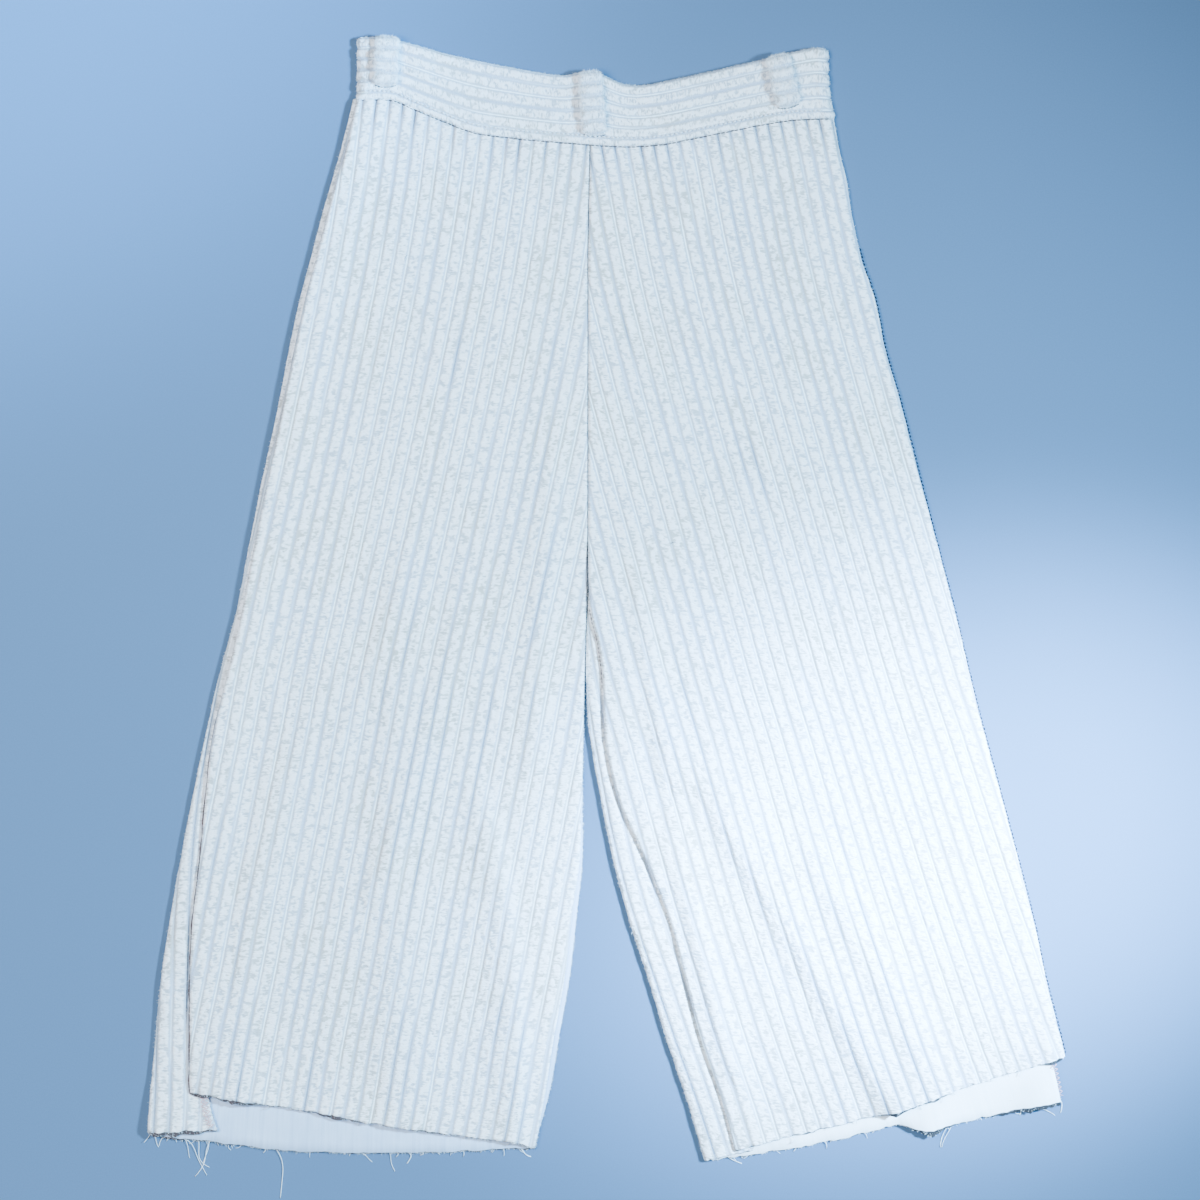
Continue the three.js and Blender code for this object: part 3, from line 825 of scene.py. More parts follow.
@dataclass
class Panel(ABC):
    """A piece of corduroy cut from the bolt, as a thin shell that lies in the garment.

    Its flat coordinates are s, across the wales, and y, towards the waist.
    """

    node: str
    leg: Leg
    wales: Wales
    nap: Nap
    wale_range: tuple[int, int]
    flat: tuple[float, float]
    area: float
    cut_seed: int
    raggedness: float = 1.0
    edge: TurnedEdge = TurnedEdge()
    rows: int = 190
    inner_columns: int = 100
    inner_rows: int = 110

    @abstractmethod
    def left(self, y: Field) -> Field:
        """The cut's left edge."""

    @abstractmethod
    def right(self, y: Field) -> Field:
        """The cut's right edge."""

    @abstractmethod
    def across(self, s: Field, y: Field) -> Field:
        """Place across the garment of a flat coordinate."""

    @abstractmethod
    def hem(self, s: Field, y: Field) -> Field:
        """Height of the raw hem."""

    @abstractmethod
    def crease_shade(self, s: Field, y: Field) -> Number:
        """How much painted shade the grooves get along a crease, from 0 to 1."""

    @abstractmethod
    def inner_overhang(self, s: Field, y: Field) -> Field:
        """How far the wrong side reaches out past the hem."""

    @abstractmethod
    def pile_side(self, s: Field, y: Field, phase: Field) -> Field:
        """Places of the pile side's points."""

    @abstractmethod
    def wrong_side(self, s: Field, y: Field) -> Field:
        """Places of the wrong side's points."""

    def top(self, s: Field, y: Field) -> Field:
        """The edge that is sewn under the waistband."""
        return BAND_BOTTOM(self.across(s, y)) - 0.1

    def pinch_shade(self, s: Field, y: Field, phase: Field) -> Field:
        """How much painted shade each groove gets where it is pinched shut, from 0 to 2; it outweighs
        the openness.

        Args:
            s: Flat coordinates across.
            y: Places along.
            phase: Places across, in wales.

        Returns:
            One number for each place.
        """
        groove = drift(np.round(phase) * 7.13, y / 95, self.nap.seed + 5)
        below = np.maximum(self.top(s, y) - y, 0)
        reach = 7 + 16 * drift(np.round(phase) * 3.71, 0.0, self.nap.seed + 6)
        shut = 0.75 * ease((groove - 0.66) / 0.26)
        return shut + 1.1 * np.exp(-((below / reach) ** 2)) + self.crease_shade(s, y)

    def pile_overhang(self, s: Field, y: Field) -> Number:
        """How far the pile side reaches out past the hem."""
        return 0.0

    def _settled(self, v: Field, across: Callable[[Field], Field]) -> tuple[Field, Field]:
        """Flat coordinates of grid points.

        Args:
            v: Each point's share of the way up, from 0 to 1.
            across: Gives the place across, before it is held inside the edges.

        Returns:
            The places across and along.
        """
        y = blend(-400.0, 350.0, v)
        s = across(y)
        for _ in range(9):
            s = np.clip(across(y), self.left(y), self.right(y))
            hem = self.hem(s, y)
            y = hem + v * (self.top(s, y) - hem)
        return s, y

    def outer_layer(self) -> Layer:
        """The pile side, with its columns along the wales."""
        phases = (np.arange(*self.wale_range)[:, None] + RIB_STEPS[None, :]).ravel()
        v = np.concatenate([HEM_STEPS, np.linspace(0.005, 1, self.rows - len(HEM_STEPS))])
        shares, phase = np.meshgrid(v, phases, indexing="ij")
        s, y = self._settled(shares, lambda at: self.wales.place(phase, at))
        raw = self.wales.place(phase, y)
        index = np.arange(s.size).reshape(s.shape)
        index = np.where(raw <= self.left(y) + 1e-3, index[:, :1], index)
        index = np.where(raw >= self.right(y) - 1e-3, index[:, -1:], index)
        true_phase = self.wales.phase(s, y)
        points = self.pile_side(s, y, true_phase)
        points[..., 1] -= self.pile_overhang(s, y) * (1 - np.clip(v / HEM_STEPS[-1], 0, 1))[:, None]
        # Below 0, the groove is painted as a dark line of shade.
        opened = self.nap.openness(true_phase, y) - self.pinch_shade(s, y, true_phase)
        nap = np.stack([true_phase, y / 10, opened], -1).reshape(-1, 3)
        share = (s - self.left(y)) / (self.right(y) - self.left(y))
        loop, loop_at = outline_of(index, share, v)
        return Layer(points.reshape(-1, 3), nap, grid_triangles(index), loop, loop_at)

    def inner_layer(self) -> Layer:
        """The wrong side, on a plain grid between the edges."""
        v = np.linspace(0, 1, self.inner_rows)
        q = np.linspace(0, 1, self.inner_columns)
        shares, across = np.meshgrid(v, q, indexing="ij")
        s, y = self._settled(shares, lambda at: blend(self.left(at), self.right(at), across))
        index = np.arange(s.size).reshape(s.shape)
        points = self.wrong_side(s, y)
        points[0, :, 1] -= self.inner_overhang(s, y)[0]
        phase = self.wales.phase(s, y)
        nap = np.stack([phase, y / 10, np.zeros_like(y)], -1).reshape(-1, 3)
        loop, loop_at = outline_of(index, across, v)
        return Layer(points.reshape(-1, 3), nap, grid_triangles(index), loop, loop_at)

    def build(self, materials: list[Material]) -> Cloth:
        """Makes the panel in place of its solid.

        Args:
            materials: Pile, wrong side and cut edge.

        Returns:
            The panel.
        """
        return cloth_of(self.node, closed_shell(self.outer_layer(), self.inner_layer()), materials)


def cut_shadow_shown(table: Table, x: Field, seed: int) -> Field:
    """How much of a raw cut shows, across the garment, as a band of painted shadow."""
    return (0.6 + lifted(table, x)) * (0.55 + 0.9 * drift(x / 2.3, 0.0, seed))


def ragged(s: Field, seed: int, depth: float = 1.0) -> Field:
    """Unevenness of a raw cut, by the place along it."""
    coarse = drift(s / 9.0, 0.0, seed) - 0.5
    fine = drift(s / 2.1, 0.0, seed + 1) - 0.5
    return depth * (1.1 * coarse + 1.2 * fine)


@dataclass
class FrontPanel(Panel):
    """A leg's front, sewn to the back at its left edge."""

    rows: int = 275
    inner_columns: int = 96
    inner_rows: int = 90

    def left(self, y: Field) -> Field:
        """The sewn edge."""
        return self.leg.seam(y)

    def right(self, y: Field) -> Field:
        """The other edge, with the turn round to the floor where it has one."""
        turned = self.tangent(y) + self.edge.length
        return self.leg.far(y) if self.leg.side is Side.LEFT else turned

    def tangent(self, y: Field) -> Field:
        """Where the cloth starts to turn."""
        return self.leg.far(y) - self.edge.radius

    def hem(self, s: Field, y: Field) -> Field:
        """The raw hem."""
        return self.leg.front_hem(self.across(s, y)) + ragged(s, self.cut_seed, self.raggedness)

    def inner_overhang(self, s: Field, y: Field) -> Field:
        """How far the wrong side reaches out past the hem."""
        return cut_shadow_shown(self.leg.front_cut_shadows, self.across(s, y), 27)

    def across(self, s: Field, y: Field) -> Field:
        """Place across the garment of a flat coordinate."""
        turned = self.tangent(y) + self.edge.out(s - self.tangent(y))
        return s if self.leg.side is Side.LEFT else turned

    def inside(self, x: Field, y: Field, share: float = 1.0) -> Field:
        """Height of the front's underside.

        Args:
            x: Places across.
            y: Places along.
            share: How much of the folds it follows.

        Returns:
            One height for each place.
        """
        from_edge = self.leg.far(y) - x
        from_seam = x - self.left(y)
        at_seam = RESTING.at_seam(from_seam)
        if self.leg.side is Side.RIGHT:
            at_seam = at_seam * ease((58 - y) / 30)
        beside = blend(0.3, 1.0, ease(from_seam / 16))
        slack = RESTING.looseness * ease((from_edge - 10) / 40)
        loose = share * (beside * self.leg.folds(x, y) + slack)
        lift = np.maximum(np.maximum(at_seam, RESTING.at_waist(x, y)), 0.3)
        wave = 0.5 * (drift(x / 38, y / 60, 31) - 0.3) * ease((from_edge - 8) / 20)
        near_hem = ease((self.leg.front_hem(x) + 40 - y) / 42)
        up = lifted(self.leg.front_lifts, x) * near_hem * ease(from_seam / 10)
        over = RESTING.front + lift + loose * ease(from_edge / 22)
        return over + wave + up * ease((from_edge - 2) / 10)

    def crease_shade(self, s: Field, y: Field) -> Field:
        """How much painted shade the grooves get along a crease, from 0 to 1."""
        return 0.62 * ease((self.leg.folds(self.across(s, y), y) - 1.7) / 1.7)

    def gathers(self, x: Field, y: Field) -> Field:
        """How deep the grooves pull in under the waistband."""
        below = BAND_BOTTOM(x) - y
        pull = drift(x / 13, 0.0, 41)
        return ease((pull - 0.35) / 0.4) * np.exp(-((below / 17) ** 2))

    def pile_side(self, s: Field, y: Field, phase: Field) -> Field:
        """Places of the pile side's points.

        Args:
            s: Flat coordinates across.
            y: Places along.
            phase: Places across, in wales.

        Returns:
            Points in the plan.
        """
        x = self.across(s, y)
        rise = self.nap.rise(phase, y)
        groove = np.abs(2 * (phase - np.floor(phase)) - 1) ** 4
        rise = rise - 1.5 * self.gathers(x, y) * groove
        seam = roll(x - self.left(y), self.leg.seam_roll)
        tucked = 1.6 * np.exp(-np.maximum(BAND_BOTTOM(x) - y, 0) / 2.2)
        cut = 0.55 + 0.45 * roll(y - self.hem(s, y) + 0.05, 2.2)
        top = self.inside(x, y) + self.nap.ground - tucked
        if self.leg.side is Side.LEFT:
            round_off = seam * roll(self.leg.far(y) - x, 2.8)
            return np.stack([x, y, top - (1 - round_off) + rise * round_off * cut], -1)
        beyond = s - self.tangent(y)
        out, up = self.edge.normal(beyond, top)
        pressed = ease((beyond - self.edge.upper) / self.edge.lower)
        height = rise * seam * cut * blend(1.0, 0.55, pressed)
        z = self.edge.level(beyond, top - (1 - seam)) + up * height
        bulge = 0.2 * (1 - seam) * ease((y + 12) / 14)
        return np.stack([x + out * height - bulge, y, np.maximum(z, CLEAR)], -1)

    def wrong_side(self, s: Field, y: Field) -> Field:
        """Places of the wrong side's points.

        Args:
            s: Flat coordinates across.
            y: Places along.

        Returns:
            Points in the plan.
        """
        x = self.across(s, y)
        if self.leg.side is Side.LEFT:
            shown = (0.2 + 0.8 * ease((-60 - y) / 120)) * (0.4 + 1.2 * drift(0.0, y / 4.1, 28))
            beside = shown * (1 - ease((x - self.left(y)) / 6))
            return np.stack([x - beside, y, self.inside(x, y, 0.9)], -1)
        wall = self.leg.far(y) - self.edge.wall
        turned = ease((s - self.tangent(y) - 0.6 * self.edge.upper) / (0.4 * self.edge.upper))
        x = np.minimum(x, wall)
        z = blend(self.inside(x, y, 0.9), self.edge.floor + 1.1, turned)
        return np.stack([x, y, z], -1)


@dataclass
class BackPanel(Panel):
    """A leg's back, turned up at its left and sewn to the front there."""

    def tangent(self, y: Field) -> Field:
        """Where the cloth starts to turn."""
        return self.leg.fold(y) + self.edge.radius

    def flat_seam(self, y: Field) -> Field:
        """The seam's flat coordinate."""
        tangent = self.tangent(y)
        return tangent - self.edge.along(tangent - self.leg.seam(y))

    def present(self, y: Field) -> Field:
        """1 where the strip beside the front is there, 0 above the crotch."""
        return np.ones_like(y) if self.leg.side is Side.LEFT else ease((24 - y) / 24)

    def crease_shade(self, s: Field, y: Field) -> Number:
        """How much painted shade the strip's grooves get, from 0 to 1."""
        return self.leg.strip_crease_shade

    def far_side(self, y: Field) -> Field:
        """The panel's edge on the floor."""
        if self.leg.side is Side.LEFT:
            return self.leg.far(y) + 3.5 * ease((-120 - y) / 150) * ease((y + 412) / 60)
        return self.leg.far(y) - 3.5 - 7 * ease((-338 - y) / 8)

    def left(self, y: Field) -> Field:
        """The edge on the floor, as a flat coordinate."""
        turned = self.leg.fold(y) + self.edge.inset + self.edge.wall
        return self.tangent(y) - self.edge.length - (self.far_side(y) - turned)

    def right(self, y: Field) -> Field:
        """The allowance's edge, as a flat coordinate."""
        floor_end = self.tangent(y) - self.edge.length + 0.5
        return blend(floor_end, self.flat_seam(y) + RESTING.allowance_width, self.present(y))

    def across(self, s: Field, y: Field) -> Field:
        """Place across the garment of a flat coordinate.

        Args:
            s: Flat coordinates across.
            y: Places along.

        Returns:
            One place for each.
        """
        tangent = self.tangent(y)
        seam = self.flat_seam(y)
        around = tangent - self.edge.out(tangent - s)
        return np.where(s > seam, self.leg.seam(y) + s - seam, around)

    def hem(self, s: Field, y: Field) -> Field:
        """The raw hem, on the floor and beside the front.

        Args:
            s: Flat coordinates across.
            y: Places along.

        Returns:
            One height for each place.
        """
        x = self.across(s, y)
        beyond = self.tangent(y) - s
        under = ease((beyond - 0.5 * self.edge.upper) / self.edge.length)
        level = blend(self.leg.strip_hem(x), self.leg.back_hem(x), under)
        return level + ragged(s, self.cut_seed, self.raggedness)

    def pile_overhang(self, s: Field, y: Field) -> Field:
        """How far the pile side reaches out past the hem, where it lies on the floor."""
        on_floor = ease((self.tangent(y) - s - self.edge.length) / 6)
        return on_floor * cut_shadow_shown(self.leg.back_cut_shadows, self.across(s, y), 29)

    def inner_overhang(self, s: Field, y: Field) -> Field:
        """How far the wrong side reaches out past the hem, in the strip beside the front."""
        in_strip = ease((self.edge.upper + s - self.tangent(y)) / 6)
        return in_strip * cut_shadow_shown(STRIP_CUT_SHADOWS, self.across(s, y), 30)

    def lift(self, s: Field, y: Field) -> Field:
        """How far the hem stands off the floor.

        Args:
            s: Flat coordinates across.
            y: Places along.

        Returns:
            One height for each place.
        """
        beyond = self.tangent(y) - s
        x = self.across(s, y)
        on_floor = ease((beyond - self.edge.length) / 10)
        free = self.leg.front_hem(x) + 1 - y
        if self.leg.side is Side.LEFT:
            beside = ease((self.edge.length + 4 - beyond) / 12)
            return 3.4 * beside * ease((-352 - y) / 48) + 1.2 * on_floor * ease(free / 12)
        return on_floor * (0.9 * ease(free / 10) + lifted(BACK_HEM_LIFTS, x) * ease(free / 18))

    def _shape(self, s: Field, y: Field) -> tuple[Field, Field, Field, Field, Field]:
        """Ground of the pile side.

        Args:
            s: Flat coordinates across.
            y: Places along.

        Returns:
            The place across, the height, the pile's direction and its share of height.
        """
        x = self.across(s, y)
        beyond = self.tangent(y) - s
        past_seam = ease((s - self.flat_seam(y) + 0.8) / 2.2)
        top = np.full_like(x, RESTING.strip_inside + self.nap.ground)
        pulled = 2.2 * np.exp(-(((s - self.flat_seam(y)) / 3.2) ** 2))
        z = blend(self.edge.level(beyond, top) - pulled, RESTING.strip_inside + 0.9, past_seam)
        out, up = self.edge.normal(beyond, top)
        out = out * (1 - past_seam)
        up = blend(up, 1.0, past_seam)
        pressed = ease((beyond - self.edge.upper) / self.edge.lower)
        share = blend(blend(1.0, 0.36, past_seam), 0.52, pressed)
        return x, z, -out, up, share

    def pile_side(self, s: Field, y: Field, phase: Field) -> Field:
        """Places of the pile side's points.

        Args:
            s: Flat coordinates across.
            y: Places along.
            phase: Places across, in wales.

        Returns:
            Points in the plan.
        """
        x, z, out, up, share = self._shape(s, y)
        cut = 0.5 + 0.5 * roll(y - self.hem(s, y) + 0.05, 2.2)
        height = self.nap.rise(phase, y) * share * cut
        z = np.maximum(z + up * height + self.lift(s, y), CLEAR)
        return np.stack([x + out * height, y, z], -1)

    def wrong_side(self, s: Field, y: Field) -> Field:
        """Places of the wrong side's points.

        Args:
            s: Flat coordinates across.
            y: Places along.

        Returns:
            Points in the plan.
        """
        x = self.across(s, y)
        beyond = self.tangent(y) - s
        wall = self.leg.fold(y) + self.edge.wall + 0.4
        turned = ease((beyond - 0.6 * self.edge.upper) / (0.4 * self.edge.upper + self.edge.lower))
        wave = 0.25 * (drift(x / 22, y / 30, 51) - 0.5) * ease((beyond - self.edge.length) / 9)
        z = blend(RESTING.strip_inside, RESTING.back_wall, turned) + wave + self.lift(s, y)
        return np.stack([np.maximum(x, wall), y, z], -1)


# --- waistband and belt loops ---


@dataclass
class Waistband:
    """A double strip joined to a ring, with its wales running round the waist."""

    node: str = "waistband"
    nap: Nap = Nap(7)
    flat: tuple[float, float] = (0.708, 0.049)
    edge: TurnedEdge = TurnedEdge(inset=1.5)
    ground: float = 7.2
    front_inside: float = 4.8
    back_inside: float = 4.2
    end_wall: float = 4.5
    wales: int = 5
    foot_share: float = 0.1
    tucked_wale: float = 0.6
    tucked_share: float = 0.115
    front_columns: int = 270
    back_columns: int = 100
    inner_rows: int = 12
    folds: Folds = Folds(BAND_FOLDS)

    def _rows(self) -> tuple[Field, Field]:
        """Shares of the way up the band, and the wales' phases there."""
        wale = (1 - self.foot_share) / self.wales
        foot = np.linspace(-self.tucked_wale, -0.05, 7)
        ribs = (np.arange(self.wales)[:, None] + RIB_STEPS[None, :]).ravel()
        phases = np.concatenate([foot, ribs, [4.97, 5.0]])
        tucked = self.foot_share + phases / self.tucked_wale * self.tucked_share
        return np.where(phases < 0, tucked, self.foot_share + phases * wale), phases

    def _columns(self) -> tuple[Field, Field, Field]:
        """The ring's columns: side (0 front, 1 right turn, 2 back, 3 left turn), share, way."""
        front = np.linspace(0, 1, self.front_columns)
        turn = np.linspace(0, self.edge.length, 17)[1:-1]
        back = np.linspace(1, 0, self.back_columns)
        sides = np.repeat([0, 1, 2, 3], [len(front), len(turn), len(back), len(turn)])
        share = np.concatenate([front, 0 * turn, back, 0 * turn])
        way = np.concatenate([0 * front, turn, 0 * back + self.edge.length, turn[::-1]])
        return sides, share, way

    def _plan(self, t: Field, sides: Field, share: Field, way: Field) -> tuple[Field, Field]:
        """Places across and along of the ring's ground.

        Args:
            t: Shares of the way up.
            sides: The ring's parts.
            share: Shares of the way across.
            way: The way along each turn.

        Returns:
            Two numbers for each point.
        """
        left_end = BAND_ENDS.curve("y", "left")
        right_end = BAND_ENDS.curve("y", "right")
        radius = self.edge.radius
        out = self.edge.out(way)
        x = np.zeros(np.broadcast(t, share).shape)
        y = BAND_BOTTOM(x) + t * (BAND_TOP(x) - BAND_BOTTOM(x))
        for _ in range(4):
            left = left_end(y)
            right = right_end(y)
            front = blend(left + radius, right - radius, share)
            right_turn = right - radius + out
            left_turn = left + radius - out
            back = blend(left_turn, right_turn, share)
            x = np.select([sides == 0, sides == 1, sides == 2], [front, right_turn, back], left_turn)
            y = BAND_BOTTOM(x) + t * (BAND_TOP(x) - BAND_BOTTOM(x))
        return x, y

    def turned_end(self, x: Field, t: Field) -> Field:
        """Height of the strip's turned end under the left belt loop."""
        within = ease((x + 152) / 6) * ease((-129.5 - x) / 1.0)
        return 0.9 * within * ease((t - 0.43) / 0.05)

    def build(self, materials: list[Material]) -> Cloth:
        """Makes the waistband in place of its solid.

        Args:
            materials: Pile, wrong side and cut edge.

        Returns:
            The waistband.
        """
        shares, phases = self._rows()
        sides, share, way = self._columns()
        t, side = np.meshgrid(shares, sides, indexing="ij")
        phase = np.broadcast_to(phases[:, None], t.shape)
        x, y = self._plan(t, side, share[None, :], way[None, :])
        along = np.cumsum(np.full(t.shape, 1.25), axis=1)
        rounded = roll(1.0 - t + 0.004, 0.075) * roll(t + 0.03, 0.07)
        front = np.where(side == 0, 1.0, 0.0)
        swell = front * (self.turned_end(x, t) + self.folds(x, y))
        wave = front * 0.7 * (drift(along / 30, 0.0, 61) - 0.5)
        top = self.ground * blend(0.72, 1.0, rounded) + swell + wave
        beyond = np.broadcast_to(way[None, :], t.shape)
        out, up = self.edge.normal(beyond, top)
        pressed = ease((beyond - self.edge.upper) / self.edge.lower)
        puff = blend(1.0, 2.3, np.where((side == 1) | (side == 3), 1 - pressed, 0.0))
        height = self.nap.rise(phase, along) * blend(0.25, 1.0, rounded)
        height = height * puff * blend(1.0, 0.5, pressed) - 1.1 * (puff - 1.0)
        z = np.maximum(self.edge.level(beyond, top) + up * height, CLEAR)
        outwards = np.where(x > 0, 1.0, -1.0) * out
        points = np.stack([x + outwards * height, y, z], -1)
        nap = np.stack([phase, along / 10, self.nap.openness(phase, along)], -1)
        return cloth_of(self.node, self._ring(points, nap, x, y, side, beyond), materials)

    def _ring(self, points: Field, nap: Field, x: Field, y: Field, side: Field, way: Field) -> Drawing:
        """Closes the ring with its inside.

        Args:
            points: The pile side's grid.
            nap: Its nap coordinates.
            x: The ground's places across.
            y: The ground's places along.
            side: The grid's parts.
            way: The way along each turn.

        Returns:
            The ring.
        """
        rows, columns = x.shape
        picked = np.linspace(0, rows - 1, self.inner_rows).round().astype(int)
        wall = self.end_wall - self.edge.inset
        inner_x = np.maximum(x, np.min(x, 1, keepdims=True) + wall)
        inner_x = np.minimum(inner_x, np.max(x, 1, keepdims=True) - wall)
        turned = blend(self.front_inside, self.back_inside, ease(way / self.edge.length))
        inner_z = np.where(side == 0, self.front_inside, turned)
        inner = np.stack([inner_x, y, inner_z], -1)[picked]
        outer_index = np.arange(rows * columns).reshape(rows, columns)
        inner_index = rows * columns + np.arange(len(picked) * columns).reshape(len(picked), columns)
        wrap = [*range(columns), 0]
        outer_index = outer_index[:, wrap]
        inner_index = inner_index[:, wrap]
        at = np.arange(columns + 1)
        low = zipped(outer_index[0], at, inner_index[0], at)
        high = zipped(outer_index[-1][::-1], at, inner_index[-1][::-1], at)
        inside = grid_triangles(inner_index)[:, ::-1]
        pile = np.concatenate([grid_triangles(outer_index), low, high])
        triangles = np.concatenate([pile, inside])
        faces = np.repeat([Face.PILE.value, Face.WRONG_SIDE.value], [len(pile), len(inside)])
        vertices = np.concatenate([points.reshape(-1, 3), inner.reshape(-1, 3)])
        naps = np.concatenate([nap.reshape(-1, 3), nap[picked].reshape(-1, 3)])
        return Drawing(vertices, triangles, faces, np.ones(len(triangles), bool), naps)


@dataclass
class BeltLoop:
    """A folded strip with its wales across it, sewn down at both ends."""

    node: str
    top: tuple[float, float]
    end: tuple[float, float]
    seed: int
    slant: float = 0.0
    width: float = 18.5
    thickness: float = 4.8
    arch: float = 2.4
    rest: float = 9.2
    bump: float = 2.5
    rings: int = 84
    sides: int = 44
    cut_width: float = 24.0
    turned_under: float = 7.0

    @property
    def flat(self) -> tuple[float, float]:
        """The cut's width and length in metres."""
        length = math.hypot(self.end[0] - self.top[0], self.end[1] - self.top[1])
        return self.cut_width * MM, (length + self.turned_under) * MM

    def build(self, materials: list[Material]) -> Cloth:
        """Makes the belt loop in place of its solid.

        Args:
            materials: Pile, wrong side and cut edge.

        Returns:
            The belt loop.
        """
        start = np.array(self.top)
        way = np.array(self.end) - start
        length = float(np.hypot(*way))
        lengthwise = way / length
        wales = round(length / 9)
        t, angle = np.meshgrid(
            np.linspace(0, 1, self.rings),
            np.arange(self.sides) * 2 * math.pi / self.sides,
            indexing="ij",
        )
        tip = roll(np.minimum(t, 1 - t) + 0.004, 0.12)
        rib = np.abs(np.sin(math.pi * wales * t)) ** 0.55
        fluff = drift(t * length / 3.1, angle * 3, self.seed) - 0.5
        half = self.width / 2 * (0.66 + 0.34 * tip) - 2.2 + 1.7 * rib
        thick = self.thickness * (0.2 + 0.8 * tip) + self.bump * (rib - 0.35) * tip
        under = self.rest + self.arch * np.sin(math.pi * t) ** 2
        c = np.sign(np.cos(angle)) * np.abs(np.cos(angle)) ** 0.8
        s = np.sign(np.sin(angle)) * np.abs(np.sin(angle)) ** 0.8
        sideways = (half + 1.3 * fluff) * c
        up = under + (thick / 2) * (1 + s) + 1.1 * fluff * np.maximum(s, 0)
        wobble = 0.5 * (drift(t * 5, 0.0, self.seed + 1) - 0.5)
        x = start[0] + way[0] * t - lengthwise[1] * (sideways + wobble)
        y = start[1] + way[1] * t + lengthwise[0] * (sideways + wobble)
        points = np.stack([x, y, up], -1)
        ends = np.stack([points[0].mean(0), points[-1].mean(0)])
        points = np.concatenate([points.reshape(-1, 3), ends])
        nap = np.stack([t * wales, sideways / 10, 0.0 * t + 0.2], -1).reshape(-1, 3)
        nap = np.concatenate([nap, nap[[0, -1]]])
        drawing = plain_drawing(points, tube_triangles(self.rings, self.sides), nap)
        return cloth_of(self.node, drawing, materials)


# --- sewing, loose threads and fibres ---


def tubes(paths: list[Field], radii: list[Number], sides: int = 5) -> Drawing:
    """Round strands along paths.

    Args:
        paths: Each strand's points.
        radii: Each strand's radius, or one for each of its points.
        sides: Corners of a strand's section.

    Returns:
        The strands, closed at their ends.
    """
    points = []
    triangles = []
    naps = []
    first = 0
    angles = np.arange(sides) * math.tau / sides
    for number, (path, radius) in enumerate(zip(paths, radii)):
        ahead = np.gradient(path, axis=0)
        ahead = ahead / np.maximum(np.linalg.norm(ahead, axis=1, keepdims=True), 1e-9)
        across = np.cross(ahead, [0.0, 0.0, 1.0])
        size = np.linalg.norm(across, axis=1, keepdims=True)
        across = np.where(size > 1e-3, across / np.maximum(size, 1e-9), [1.0, 0.0, 0.0])
        up = np.cross(across, ahead)
        cosines, sines = np.cos(angles)[None, :, None], np.sin(angles)[None, :, None]
        turn = cosines * across[:, None] + sines * up[:, None]
        skin = path[:, None] + np.broadcast_to(radius, len(path))[:, None, None] * turn
        points += [skin.reshape(-1, 3), path[[0, -1]]]
        triangles.append(first + tube_triangles(len(path), sides)[:, ::-1])
        way, angle = np.meshgrid(way_along(path) / 10, angles / math.tau, indexing="ij")
        nap = np.stack([angle, way, np.full(way.shape, (number * TONE_STEP) % 1.0)], -1).reshape(-1, 3)
        naps += [nap, nap[[0, -1]]]
        first += len(path) * sides + 2
    vertices = np.concatenate(points)
    vertices[:, 2] = np.maximum(vertices[:, 2], CLEAR)
    return plain_drawing(vertices, np.concatenate(triangles), np.concatenate(naps))


@dataclass(frozen=True)
class Stitches:
    """A row of stitches along a line that lies on the cloth."""

    name: str
    lines: list[Field]
    pitch: float
    share: float
    radius: float
    weave: float
    sink: float
    seed: int

    def build(self, material: Material) -> Piece:
        """Makes the stitches.

        Args:
            material: The thread's material.

        Returns:
            The stitches, in one piece.
        """
        paths = []
        radii = []
        chance = np.random.default_rng(self.seed)
        steps = np.linspace(0, 1, 7)
        bow = np.sin(steps * math.pi)
        for line in self.lines:
            way = way_along(line)
            for k in range(max(1, int(way[-1] / self.pitch))):
                start = (k + 0.12 * chance.random()) * self.pitch
                at = start + steps * self.pitch * self.share
                path = np.stack([np.interp(at, way, line[:, i]) for i in range(3)], 1)
                chord = path[-1] - path[0]
                across = np.array([-chord[1], chord[0], 0.0])
                across = across / max(float(np.linalg.norm(across)), 1e-6)
                swing = (2 * steps - 1) * self.weave * (1 if k % 2 else -1)
                wander = 0.25 * (chance.random() - 0.5)
                path = path + across * (swing + wander)[:, None]
                path[:, 2] += self.sink * (bow - 0.6)
                paths.append(path)
                radii.append(self.radius * (0.45 + 0.55 * bow) * (0.85 + 0.3 * chance.random()))
        return object_of(self.name, tubes(paths, radii), [material])


